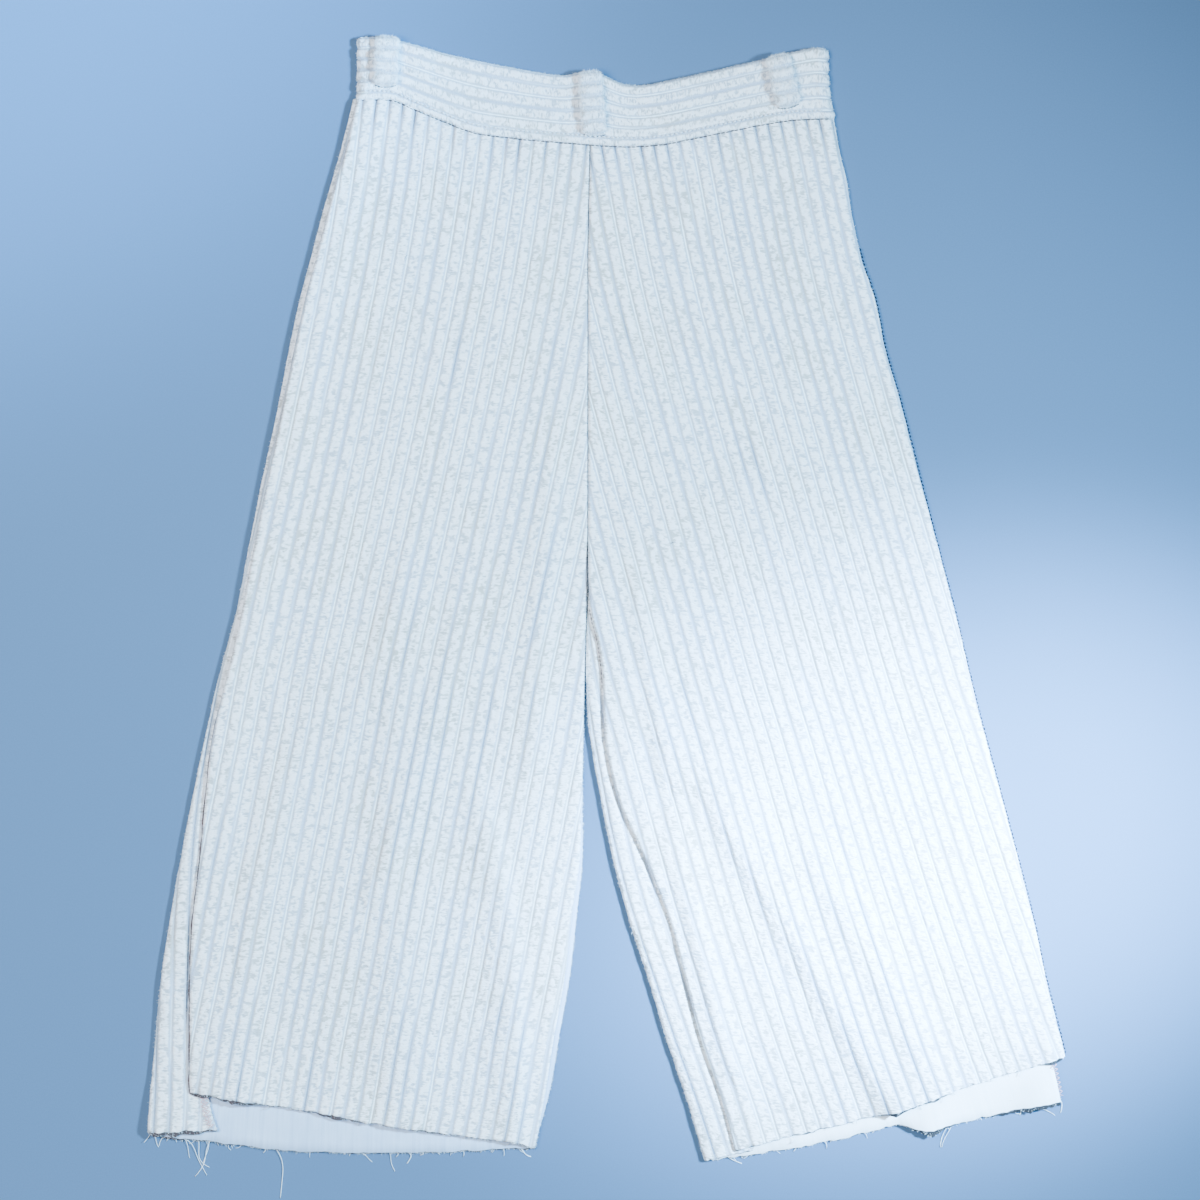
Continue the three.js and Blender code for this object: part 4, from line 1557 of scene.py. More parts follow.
# Threads that hang out of the hems: three places, a height over the floor and a radius.
LOOSE_THREADS = Table(
    ("ax", "ay", "bx", "by", "cx", "cy", "bend", "height", "radius"),
    (
        (-307, -398, -306, -416, -298, -427, 3.0, 3.4, 0.30),
        (-318, -405, -309, -414, -300, -433, 2.5, 2.4, 0.28),
        (-297, -406, -301, -419, -309, -434, -2.5, 1.6, 0.30),
        (-299, -404, -300, -416, -303, -426, 1.5, 1.6, 0.26),
        (-316, -406, -314, -413, -313, -420, 0.5, 1.6, 0.24),
        (-248, -413, -243, -430, -245, -450, 1.5, 1.0, 0.32),
        (-347, -408, -343, -403, -340, -399, 0.6, 1.6, 0.24),
        (-340, -399, -338, -407, -336, -412, 0.6, 1.6, 0.26),
        (-329, -398, -333, -404, -336, -411, 0.6, 2.6, 0.28),
        (-186, -415, -180, -419, -176, -423, 1.0, 1.0, 0.26),
        (-163, -415, -162, -421, -159, -430, 1.0, 1.0, 0.26),
        (-283, -408, -284, -411, -282, -414, 0.5, 1.2, 0.24),
        (-216, -377, -216, -386, -212, -391, 1.0, 5.0, 0.18),
        (258, -391, 253, -400, 250, -412, 1.0, 2.6, 0.28),
        (260, -391, 255, -402, 251, -412, 1.0, 2.6, 0.24),
        (223, -381, 230, -386, 234, -392, 0.5, 6.0, 0.28),
        (302, -376, 307, -377, 311, -380, 0.5, 5.0, 0.22),
        (320, -382, 329, -384, 336, -388, 0.5, 3.0, 0.24),
        (-66, -411, -62, -416, -57, -419, 1.0, 1.4, 0.40),
        (-152, -414, -147, -419, -150, -424, 1.5, 1.2, 0.38),
        (88, -415, 94, -421, 101, -424, -1.0, 2.0, 0.38),
        (335, -374, 341, -379, 340, -386, 1.0, 2.4, 0.36),
    ),
)
# Lint: a middle, a length, a direction in degrees and a height.
LINT = Table(
    ("x", "y", "length", "turn", "height"),
    (
        (-150, 254, 5.0, 70, 10.2),
        (49.5, 41, 4.0, 20, 8.6),
        (83, -335, 4.5, 80, 9.2),
        (59, -345, 3.5, 130, 9.4),
    ),
)


@dataclass(frozen=True)
class LooseThreads:
    """Threads that have frayed out of the raw hems."""

    name: str = "frayed_threads"
    seed: int = 101
    count: int = 190
    length: float = 5.5

    def build(self, material: Material) -> Piece:
        """Makes the threads.

        Args:
            material: The thread's material.

        Returns:
            The threads, in one piece.
        """
        paths = []
        radii = []
        for row in LOOSE_THREADS.rows:
            one = dict(zip(LOOSE_THREADS.columns, row))
            a, b, c = ([one[f"{k}x"], one[f"{k}y"], 0.0] for k in "abc")
            path = curved(np.array(a), np.array(b), np.array(c))
            t = np.linspace(0, 1, len(path))
            path[:, 2] = 0.45 + one["height"] * (1 - t) ** 2
            path[:, 0] += one["bend"] * np.sin(t * 2 * math.pi) * 0.5
            paths.append(path)
            radii.append(np.full(len(path), one["radius"]))
        chance = np.random.default_rng(self.seed)
        # Hems: the curve, its ends, a height, a drop and a share of the threads.
        hems = (
            (LEFT_LEG.back_hem, -338.0, -58.0, 0.4, 1.8, 0.42),
            (LEFT_LEG.front_hem, -308.0, -60.0, 5.0, 1.0, 0.18),
            (RIGHT_LEG.back_hem, 76.0, 336.0, 0.6, 1.8, 0.28),
            (RIGHT_LEG.front_hem, 100.0, 338.0, 5.0, 1.0, 0.12),
        )
        shares = np.cumsum([hem[-1] for hem in hems])
        for _ in range(self.count):
            curve, low, high, base, drop, _share = hems[int(np.searchsorted(shares, chance.random()))]
            x = low + (high - low) * chance.random()
            slant = math.radians(chance.normal(-90, 38))
            size = self.length * (0.35 + chance.random() ** 2)
            y = float(curve(np.array(x)))
            a = np.array([x, y + 1.5, 0.0])
            c = a + size * np.array([math.cos(slant), math.sin(slant), 0.0])
            sideways = size * np.array([math.sin(slant), -math.cos(slant), 0.0])
            b = (a + c) / 2 + 0.22 * sideways * chance.normal()
            path = curved(a, b, c, 7)
            path[:, 2] = base + drop * (1 - np.linspace(0, 1, 7)) + 0.3 * chance.random()
            paths.append(path)
            radii.append(np.full(len(path), 0.17 + 0.13 * chance.random()))
        return object_of(self.name, tubes(paths, radii, 4), [material])


@dataclass(frozen=True)
class Lint:
    """Bits of dark fibre on the cloth."""

    name: str = "lint"

    def build(self, material: Material) -> Piece:
        """Makes the bits of lint.

        Args:
            material: Their material.

        Returns:
            The lint, in one piece.
        """
        paths = []
        for row in LINT.rows:
            one = dict(zip(LINT.columns, row))
            turn = math.radians(one["turn"])
            way = np.array([math.cos(turn), math.sin(turn), 0.0]) * one["length"] / 2
            place = np.array([one["x"], one["y"], one["height"]])
            side = np.array([-way[1], way[0], 0.0]) * 0.4
            paths.append(curved(place - way, place + side, place + way, 8))
        return object_of(self.name, tubes(paths, [0.2] * len(paths), 4), [material])


@dataclass(frozen=True)
class Fuzz:
    """Fibres that stand out of a cloth, most of them at its edges."""

    count: int
    seed: int
    shortest: float = 0.8
    longest: float = 2.2
    width: float = 0.3
    lean: float = 0.75
    at_cut: float = 3.0
    at_side: float = 5.0

    def build(self, cloth: Cloth, material: Material) -> Piece:
        """Makes the fibres.

        Args:
            cloth: The cloth that they grow from.
            material: Their material.

        Returns:
            The fibres, in one piece.
        """
        chance = np.random.default_rng(self.seed)
        drawing = cloth.drawing
        shown = drawing.triangles[drawing.faces != Face.WRONG_SIDE.value]
        kinds = drawing.faces[drawing.faces != Face.WRONG_SIDE.value]
        a, b, c = (drawing.points[shown[:, i]] for i in range(3))
        normal = np.cross(b - a, c - a)
        size = np.linalg.norm(normal, axis=1)
        normal = normal / np.maximum(size, 1e-9)[:, None]
        weight = size * np.where(kinds == Face.CUT.value, self.at_cut, 1.0)
        weight = weight * (1 + self.at_side * np.clip(0.5 - normal[:, 2], 0, 1))
        weight = weight * (normal[:, 2] > -0.45)
        picked = chance.choice(len(shown), self.count, p=weight / weight.sum())
        u, v = chance.random((2, self.count, 1))
        flip = u + v > 1
        u, v = np.where(flip, 1 - u, u), np.where(flip, 1 - v, v)
        root = a[picked] + u * (b - a)[picked] + v * (c - a)[picked]
        way = normal[picked] + self.lean * chance.normal(size=(self.count, 3))
        way = way / np.linalg.norm(way, axis=1, keepdims=True)
        length = self.shortest + (self.longest - self.shortest) * chance.random((self.count, 1)) ** 2
        side = np.cross(way, chance.normal(size=(self.count, 3)))
        side = side / np.linalg.norm(side, axis=1, keepdims=True)
        other = np.cross(way, side)
        half = self.width / 2
        root = root - 0.2 * way
        turns = np.arange(3) * math.tau / 3
        foot = [root + half * (math.cos(turn) * side + math.sin(turn) * other) for turn in turns]
        points = np.stack([*foot, root + (length + 0.2) * way], 1).reshape(-1, 3)
        points[:, 2] = np.maximum(points[:, 2], CLEAR)
        spike = np.array([(0, 2, 1), (0, 1, 3), (1, 2, 3), (2, 0, 3)])
        triangles = (np.arange(self.count)[:, None, None] * 4 + spike).reshape(-1, 3)
        nap = np.repeat(drawing.nap[shown[picked, 0]], 4, axis=0)
        drawn = plain_drawing(points, triangles, nap, smooth=False)
        return object_of(f"{cloth.node}_fuzz", drawn, [material])


# --- finishes ---


class Graph:
    """Adds and joins the nodes of one material or node group."""

    def __init__(self, tree: Tree) -> None:
        """Starts on an empty tree."""
        self.tree = tree
        tree.nodes.clear()

    def add(self, kind: str, inputs: dict | None = None, **settings: object) -> bpy.types.Node:
        """Adds a node.

        Args:
            kind: Its type, without the leading ShaderNode.
            inputs: Values or sockets for its inputs, by name or number.
            settings: Its properties.

        Returns:
            The node.
        """
        name = kind if kind.startswith("Node") else f"ShaderNode{kind}"
        node = self.tree.nodes.new(name)
        for key, value in settings.items():
            setattr(node, key, value)
        for key, value in (inputs or {}).items():
            self.feed(node.inputs[key], value)
        return node

    def feed(self, socket: Socket, value: object) -> None:
        """Joins a socket to an input, or sets its value.

        Args:
            socket: The input.
            value: A socket, a number or a colour.
        """
        if isinstance(value, Socket):
            self.tree.links.new(value, socket)
        elif isinstance(value, tuple) and len(value) == 3 and socket.type == "RGBA":
            socket.default_value = (*value, 1.0)
        else:
            socket.default_value = value

    def math(self, operation: str, *values: Value, clamp: bool = False) -> Socket:
        """A sum, product or other operation on numbers."""
        node = self.add("Math", dict(enumerate(values)), operation=operation, use_clamp=clamp)
        return node.outputs[0]

    def times(self, a: Value, b: Value) -> Socket:
        """The product of two numbers."""
        return self.math("MULTIPLY", a, b)

    def scaled(self, value: Value, factor: Value, shift: Value) -> Socket:
        """A number times a factor, plus a shift."""
        return self.math("MULTIPLY_ADD", value, factor, shift)

    def ramp(self, value: Value, low: float, high: float) -> Socket:
        """A soft step of a number, from 0 at low to 1 at high."""
        inputs = {"Value": value, "From Min": low, "From Max": high}
        return self.add("MapRange", inputs, interpolation_type="SMOOTHSTEP").outputs["Result"]

    def place(self, x: Value, y: Value, z: Value = 0.0) -> Socket:
        """A vector of three numbers."""
        return self.add("CombineXYZ", {"X": x, "Y": y, "Z": z}).outputs[0]

    def noise(self, vector: Socket, scale: float, detail: float = 2.0) -> Socket:
        """Noise from 0 to 1."""
        inputs = {"Vector": vector, "Scale": scale, "Detail": detail, "Roughness": 0.55}
        return self.add("TexNoise", inputs, noise_dimensions="3D").outputs[0]

    def cloud(self, across: tuple, along: tuple, layer: float = 0.0, detail: float = 1.0) -> Socket:
        """Noise over the cloth.

        Args:
            across: The place across and how many swells it has to a unit.
            along: The same, along.
            layer: Number of the pattern.
            detail: How fine it is.

        Returns:
            A number from 0 to 1.
        """
        return self.noise(self.place(self.times(*across), self.times(*along), layer), 1.0, detail)

    def groove_distance(self, phase: Socket) -> Socket:
        """How far a place lies from its wale's middle, 1 in the groove."""
        return self.math("ABSOLUTE", self.scaled(self.math("FRACT", phase), 2.0, -1.0))

    def mix(self, share: Value, a: object, b: object) -> Socket:
        """A mix of two colours.

        Args:
            share: How much of the second there is.
            a: The first colour.
            b: The second colour.

        Returns:
            The mixed colour.
        """
        node = self.add("Mix", {0: share}, data_type="RGBA")
        self.feed(node.inputs[6], a)
        self.feed(node.inputs[7], b)
        return node.outputs[2]

    def nap(self) -> Socket:
        """The mesh's nap coordinates."""
        return self.add("Attribute", attribute_name="nap").outputs["Vector"]

    def group(self, tree: Tree, **inputs: Value) -> bpy.types.NodeOutputs:
        """Places a node group.

        Args:
            tree: The group.
            inputs: Its inputs, by name.

        Returns:
            Its outputs.
        """
        return self.add("Group", {"Nap": self.nap(), **inputs}, node_tree=tree).outputs


def group_of(
    name: str, inputs: tuple[str, ...], outputs: tuple[str, ...]
) -> tuple[Tree, Graph, list[Socket]]:
    """Starts a node group.

    Args:
        name: The group's name.
        inputs: Its numbers, beside the nap coordinates.
        outputs: The numbers that it gives.

    Returns:
        The group, its graph, and the nap's three parts with the other inputs.
    """
    tree = bpy.data.node_groups.new(name, "ShaderNodeTree")
    tree.interface.new_socket("Nap", in_out="INPUT", socket_type="NodeSocketVector")
    for socket in inputs:
        tree.interface.new_socket(socket, in_out="INPUT", socket_type="NodeSocketFloat")
    for socket in outputs:
        tree.interface.new_socket(socket, in_out="OUTPUT", socket_type="NodeSocketFloat")
    graph = Graph(tree)
    source = graph.add("NodeGroupInput").outputs
    parts = graph.add("SeparateXYZ", {0: source["Nap"]}).outputs
    return tree, graph, [*parts[:3], *(source[socket] for socket in inputs)]


def cloth_material(
    name: str,
    paint: Callable[[Graph], tuple[Socket, Socket]],
    bump: tuple[float, float],
    finish: tuple[float, ...],
) -> Material:
    """Makes a material whose colour and height vary.

    Args:
        name: Its name.
        paint: Draws the colour and the height.
        bump: The height's strength, and its reach in metres.
        finish: Roughness, specular level, sheen and, where it is given, the sheen's roughness.

    Returns:
        The material.
    """
    made = bpy.data.materials.new(name)
    made.use_nodes = True
    g = Graph(made.node_tree)
    colour, height = paint(g)
    raised = g.add("Bump", {"Strength": bump[0], "Distance": bump[1], "Height": height}).outputs[0]
    inputs = {"Base Color": colour, "Normal": raised}
    inputs |= dict(zip(("Roughness", "Specular IOR Level", "Sheen Weight", "Sheen Roughness"), finish))
    shader = g.add("BsdfPrincipled", inputs)
    g.add("OutputMaterial", {"Surface": shader.outputs[0]})
    return made


def pile_group() -> Tree:
    """Node group of the cord's pile: its tufts, the painted shade on its flanks and in its closed and
    pinched grooves, the painted highlight in its open grooves, and its height.

    Returns:
        The group. Its input Nap has the phase across the wales, the way along them in
        centimetres and how far the nearest groove stands open, below 0 where it gets painted shade.
    """
    names = ("Tufts", "Flank Shade", "Open Groove Highlight", "Closed Groove Shade", "Pinch Shade", "Patches", "Height")
    group, g, (phase, along, groove, size) = group_of("wale_pile", ("Tuft Size",), names)
    opened = g.math("MAXIMUM", groove, 0.0)
    shut = g.math("MULTIPLY", groove, -1.0, clamp=True)
    waver = g.noise(g.place(phase, g.times(along, 1.7)), 1.0, 1.0)
    edge = g.math("ADD", g.groove_distance(phase), g.scaled(waver, 0.16, -0.08))
    # Painted highlight: an open groove shows the woven ground, painted brighter than the ground's own
    # colour.
    open_highlight_line = g.times(g.ramp(edge, 0.87, 0.93), opened)
    # Painted shade: a closed groove is a dark line, and a pinched one darker still.
    closed_shade_line = g.times(g.ramp(edge, 0.84, 1.0), g.math("SUBTRACT", 1.0, opened))
    pinch_shade_line = g.times(g.ramp(edge, 0.82, 0.92), shut)
    # Painted shade: each wale's flanks darken towards the grooves.
    flank_shade = g.ramp(edge, 0.42, 0.86)
    across = g.times(phase, g.times(size, 1.9))
    upwards = g.times(g.scaled(waver, 0.25, along), size)
    strokes = g.noise(g.place(across, g.times(upwards, 6.4)), 1.0, 1.0)
    clumps = g.noise(g.place(across, g.times(upwards, 1.9), 3.0), 1.0, 1.0)
    hairs = g.cloud((phase, 6.0), (along, 15.0), 7.0, 2.0)
    swell = g.cloud((phase, 1.3), (along, 0.8), 5.0)
    mixed = g.times(g.ramp(strokes, 0.42, 0.6), 0.5)
    mixed = g.scaled(g.ramp(clumps, 0.4, 0.6), 0.56, mixed)
    mixed = g.scaled(g.ramp(swell, 0.35, 0.65), 0.22, mixed)
    mixed = g.scaled(hairs, 0.35, mixed)
    tufts = g.times(mixed, g.scaled(flank_shade, -0.78, 1.0))
    patches = g.cloud((phase, 0.22), (along, 0.13), detail=2.0)
    height = g.scaled(hairs, 0.4, tufts)
    outputs = (tufts, flank_shade, open_highlight_line, closed_shade_line, pinch_shade_line, patches, height)
    g.add("NodeGroupOutput", dict(enumerate(outputs)))
    return group


def ground_group() -> Tree:
    """Node group of the woven ground: its shade in streaks and clouds, and its height."""
    group, g, (phase, along, _) = group_of("woven_ground", (), ("Shade", "Height"))
    streaks = g.cloud((phase, 6.0), (along, 0.25), detail=3.0)
    weave = g.times(g.math("SINE", g.times(phase, 66.0)), g.math("SINE", g.times(along, 60.0)))
    lines = g.times(g.ramp(g.groove_distance(phase), 0.6, 1.0), 0.1)
    cloud = g.cloud((phase, 0.35), (along, 0.4), 4.0, 2.0)
    shade = g.scaled(streaks, 0.55, g.scaled(cloud, 0.35, lines))
    height = g.math("ADD", g.scaled(weave, 0.5, 0.5), g.times(streaks, 1.5))
    g.add("NodeGroupOutput", {0: shade, 1: height})
    return group


def thread_group() -> Tree:
    """Node group of twisted thread: the shade of each strand, and its plies' height."""
    group, g, (around, along, tone, twist) = group_of("thread_twist", ("Twist",), ("Shade", "Height"))
    turn = g.scaled(along, twist, g.times(around, math.tau))
    ply = g.scaled(g.math("SINE", turn), 0.5, 0.5)
    own = g.noise(g.place(tone, along, around), 9.0)
    g.add("NodeGroupOutput", {0: g.scaled(own, 0.7, g.times(ply, 0.3)), 1: ply})
    return group


@dataclass(frozen=True)
class PileFinish:
    """The cord's pile, brushed up in tufts on its wales, with painted shade on its flanks and grooves
    and a painted highlight in its open grooves.
    """

    name: str
    tuft_size: float = 1.0
    tuft: Colour = (0.905, 0.92, 0.955)
    low: Colour = (0.42, 0.47, 0.53)
    worn: Colour = (0.46, 0.45, 0.425)
    # Painted shade on the wales' flanks, towards the grooves.
    flank_shade: Colour = (0.475, 0.555, 0.675)
    # The woven ground in open grooves, painted brighter as a highlight.
    open_groove_highlight: Colour = (0.82, 0.95, 1.0)
    # Painted shade in closed grooves, and darker painted shade in pinched ones.
    closed_groove_shade: Colour = (0.27, 0.35, 0.49)
    pinched_shade: Colour = (0.15, 0.20, 0.27)
    bump: tuple[float, float] = (0.55, 0.0011)
    finish: tuple[float, ...] = (0.9, 0.2, 0.25, 0.45)

    def material(self, group: Tree) -> Material:
        """Makes the material from the pile's node group."""
        return cloth_material(self.name, lambda g: self._paint(g, group), self.bump, self.finish)

    def _paint(self, g: Graph, group: Tree) -> tuple[Socket, Socket]:
        """Draws the pile.

        Args:
            g: The material's graph.
            group: The pile's node group.

        Returns:
            The colour and the height.
        """
        pile = g.group(group, **{"Tuft Size": self.tuft_size})
        patch = g.ramp(pile["Patches"], 0.40, 0.64)
        low = g.mix(patch, self.low, self.worn)
        # Painted shade on the flanks, towards the grooves.
        low = g.mix(g.times(pile["Flank Shade"], g.scaled(patch, -0.5, 0.8)), low, self.flank_shade)
        colour = g.mix(g.ramp(pile["Tufts"], 0.2, 0.95), low, self.tuft)
        # Painted shade lines in closed and pinched grooves, and a painted highlight in open ones.
        colour = g.mix(g.times(pile["Closed Groove Shade"], 0.5), colour, self.closed_groove_shade)
        colour = g.mix(pile["Open Groove Highlight"], colour, self.open_groove_highlight)
        return g.mix(g.times(pile["Pinch Shade"], 0.9), colour, self.pinched_shade), pile["Height"]


@dataclass(frozen=True)
class ShadedFinish:
    """A finish between two colours, by the shade that its node group gives."""

    name: str
    light: Colour
    dark: Colour
    bump: tuple[float, float]
    finish: tuple[float, ...]

    def material(self, group: Tree, **inputs: float) -> Material:
        """Makes the material.

        Args:
            group: The node group with the shade and the height.
            inputs: The group's other inputs.

        Returns:
            The material.
        """
        return cloth_material(
            self.name, lambda g: self._paint(g, group, inputs), self.bump, self.finish
        )

    def _paint(self, g: Graph, group: Tree, inputs: dict[str, float]) -> tuple[Socket, Socket]:
        """Draws the colour and the height."""
        drawn = g.group(group, **inputs)
        return g.mix(g.ramp(drawn["Shade"], 0.25, 0.75), self.light, self.dark), drawn["Height"]


@dataclass(frozen=True)
class GroundFinish(ShadedFinish):
    """The woven ground as the wrong side and the cut edges show it; the cut edges' copies are dark as
    painted shadow.
    """

    light: Colour = (0.52, 0.645, 0.82)
    dark: Colour = (0.38, 0.49, 0.665)
    bump: tuple[float, float] = (0.35, 0.0003)
    finish: tuple[float, ...] = (0.85, 0.2, 0.1)


@dataclass(frozen=True)
class ThreadFinish(ShadedFinish):
    """Twisted sewing thread, or a single fibre where its twist is 0."""

    light: Colour = (0.88, 0.92, 0.97)
    dark: Colour = (0.56, 0.61, 0.68)
    bump: tuple[float, float] = (0.5, 0.0002)
    finish: tuple[float, ...] = (0.7, 0.06, 0.02)
    twist: float = 60.0


# The wrong side in two copies: this darker one, painted shade, for the left leg, the waistband and the
# loops.
WRONG_SIDE = GroundFinish("cord_wrong_side")
# The cut edges are coloured dark as painted shadow under the hems; the right leg's copy is darker still
# for its brighter light.
CUT_EDGE_SHADOW = GroundFinish("cord_cut_edge_shadow", (0.12, 0.08, 0.08), (0.045, 0.034, 0.036))
DEEP_CUT_EDGE_SHADOW = GroundFinish("cord_cut_edge_deep_shadow", (0.04, 0.034, 0.038), (0.012, 0.011, 0.013))
# A paler copy of the wrong side, painted light, for the brightly lit right leg.
LIT_WRONG_SIDE = GroundFinish("cord_wrong_side_lit", (0.88, 0.90, 0.93), (0.78, 0.82, 0.87))
LOOSE_FIBRE = ThreadFinish("loose_fibre", dark=(0.74, 0.77, 0.79), twist=0.0)
WHITE_THREAD = ThreadFinish("white_thread")
PINK_THREAD = ThreadFinish("pink_serging_thread", (0.80, 0.42, 0.42), (0.52, 0.24, 0.26))
# Dark brown seam thread, whose colour also stands in for painted shade in the seams' dimples.
BROWN_THREAD_AND_SHADE = ThreadFinish("brown_seam_thread_and_shade", (0.13, 0.09, 0.09), (0.05, 0.036, 0.04))
# Near-black thread lines that are painted shadow at the right outer edge and under the belt loops'
# lower ends, where stitching also runs.
SLATE_SHADOW_THREAD = ThreadFinish("slate_shadow_thread", (0.022, 0.028, 0.045), (0.008, 0.01, 0.016))
DARK_LINT = ThreadFinish("dark_lint", (0.10, 0.12, 0.16), (0.05, 0.06, 0.08), twist=0.0)


@dataclass(frozen=True)
class FloorFinish:
    """Smooth pale blue paper."""

    name: str = "floor_paper"
    colour: Colour = (0.067, 0.13, 0.229)

    def material(self) -> Material:
        """Makes the material."""
        made = bpy.data.materials.new(self.name)
        made.use_nodes = True
        g = Graph(made.node_tree)
        place = g.add("NewGeometry").outputs["Position"]
        grain = g.ramp(g.noise(place, 900.0), 0.3, 0.7)
        deeper = tuple(0.94 * part for part in self.colour)
        inputs = {"Base Color": g.mix(grain, self.colour, deeper), "Roughness": 0.75}
        shader = g.add("BsdfPrincipled", {**inputs, "Specular IOR Level": 0.3})
        g.add("OutputMaterial", {"Surface": shader.outputs[0]})
        return made


# --- the studio ---


@dataclass(frozen=True)
class Lamp:
    """A soft light that looks at a place on the floor, in a cone where it has one."""

    name: str
    place: tuple[float, float, float]
    target: tuple[float, float, float]
    size: float
    power: float
    colour: Colour
    cone: float = 0.0

    def build(self) -> None:
        """Adds the light."""
        if self.cone:
            light = bpy.data.lights.new(self.name, "SPOT")
            light.spot_size = 2 * self.cone
            light.spot_blend = 1.0
            light.shadow_soft_size = self.size
        else:
            light = bpy.data.lights.new(self.name, "AREA")
            light.size = self.size
        light.energy = self.power
        light.color = self.colour
        made = linked(self.name, light)
        made.location = self.place
        aim = Vector(self.target) - Vector(self.place)
        made.rotation_euler = aim.to_track_quat("-Z", "Y").to_euler()


@dataclass(frozen=True)
class Studio:
    """Floor, lights and the camera straight above."""

    camera_height: float = 3.0
    frame_width: float = 0.9
    sensor_width: float = 36.0
    camera_place: tuple[float, float] = (-5.25, -1.5)
    floor_size: float = 14.0
    sky: Colour = (0.62, 0.76, 1.0)
    sky_strength: float = 0.08

    def build(self) -> None:
        """Makes the studio."""
        half = self.floor_size / 2
        mesh = bpy.data.meshes.new("floor")
        corners = [(-half, -half, 0), (half, -half, 0), (half, half, 0), (-half, half, 0)]
        mesh.from_pydata(corners, [], [(0, 1, 2, 3)])
        mesh.materials.append(FloorFinish().material())
        linked("floor", mesh)
        lamps = (
            Lamp(
                "key_right", place=(1.5, 0.15, 1.5), target=(-0.45, -0.3, 0.0),
                size=0.11, power=838.0, colour=(0.3, 0.68, 1.0), cone=0.53,
            ),
            Lamp(
                "fill_left", place=(-1.2, 0.13, 2.4), target=(0.0, 0.0, 0.0),
                size=1.2, power=148.0, colour=(0.80, 0.9, 1.0),
            ),
            Lamp(
                "pool_left", place=(1.4, 0.2, 1.5), target=(-1.0, 0.755, 0.0),
                size=0.1, power=2830.0, colour=(0.1, 0.52, 1.0), cone=0.28,
            ),
            Lamp(
                "pool_right", place=(1.5, 0.15, 1.3), target=(0.266, -0.188, 0.0),
                size=0.1, power=4000.0, colour=(0.31, 0.61, 1.0), cone=0.138,
            ),
        )
        for lamp in lamps:
            lamp.build()
        world = bpy.data.worlds.new("studio")
        bpy.context.scene.world = world
        world.use_nodes = True
        backdrop = world.node_tree.nodes["Background"]
        backdrop.inputs[0].default_value = (*self.sky, 1.0)
        backdrop.inputs[1].default_value = self.sky_strength
        lens = bpy.data.cameras.new("camera")
        lens.sensor_width = self.sensor_width
        lens.lens = self.sensor_width * self.camera_height / self.frame_width
        camera = linked("camera", lens)
        x, y, _ = to_frame(np.array([*self.camera_place, 0.0]))
        camera.location = (x, y, self.camera_height)
        bpy.context.scene.camera = camera


# --- the whole garment ---


# Each row of stitches, with its share that shows, its weave to the sides and its sink into the cloth.
STITCH_COLUMNS = ("pitch", "share", "radius", "weave", "sink", "seed")
STITCHES = {
    # The slate rows are painted shadow; the brown rows are seam thread that also stands in for painted
    # shade.
    "loop_end_shadow_thread": (2.4, 0.9, 0.4, 0.0, 0.2, 97),
    "loop_stitch_thread": (2.6, 0.9, 0.45, 0.0, 0.3, 98),
    "band_topstitch": (3.4, 0.78, 0.7, 0.3, 0.5, 91),
    "band_seam_thread_and_shade": (3.4, 0.86, 0.5, 0.0, 0.3, 92),
    "hem_serging": (1.7, 1.0, 0.32, 1.6, 0.2, 94),
    "crotch_seam_thread_and_shade": (3.2, 0.8, 0.36, 0.0, 0.3, 95),
    "side_edge_shadow_thread": (2.9, 0.66, 0.66, 0.35, 0.2, 96),
}


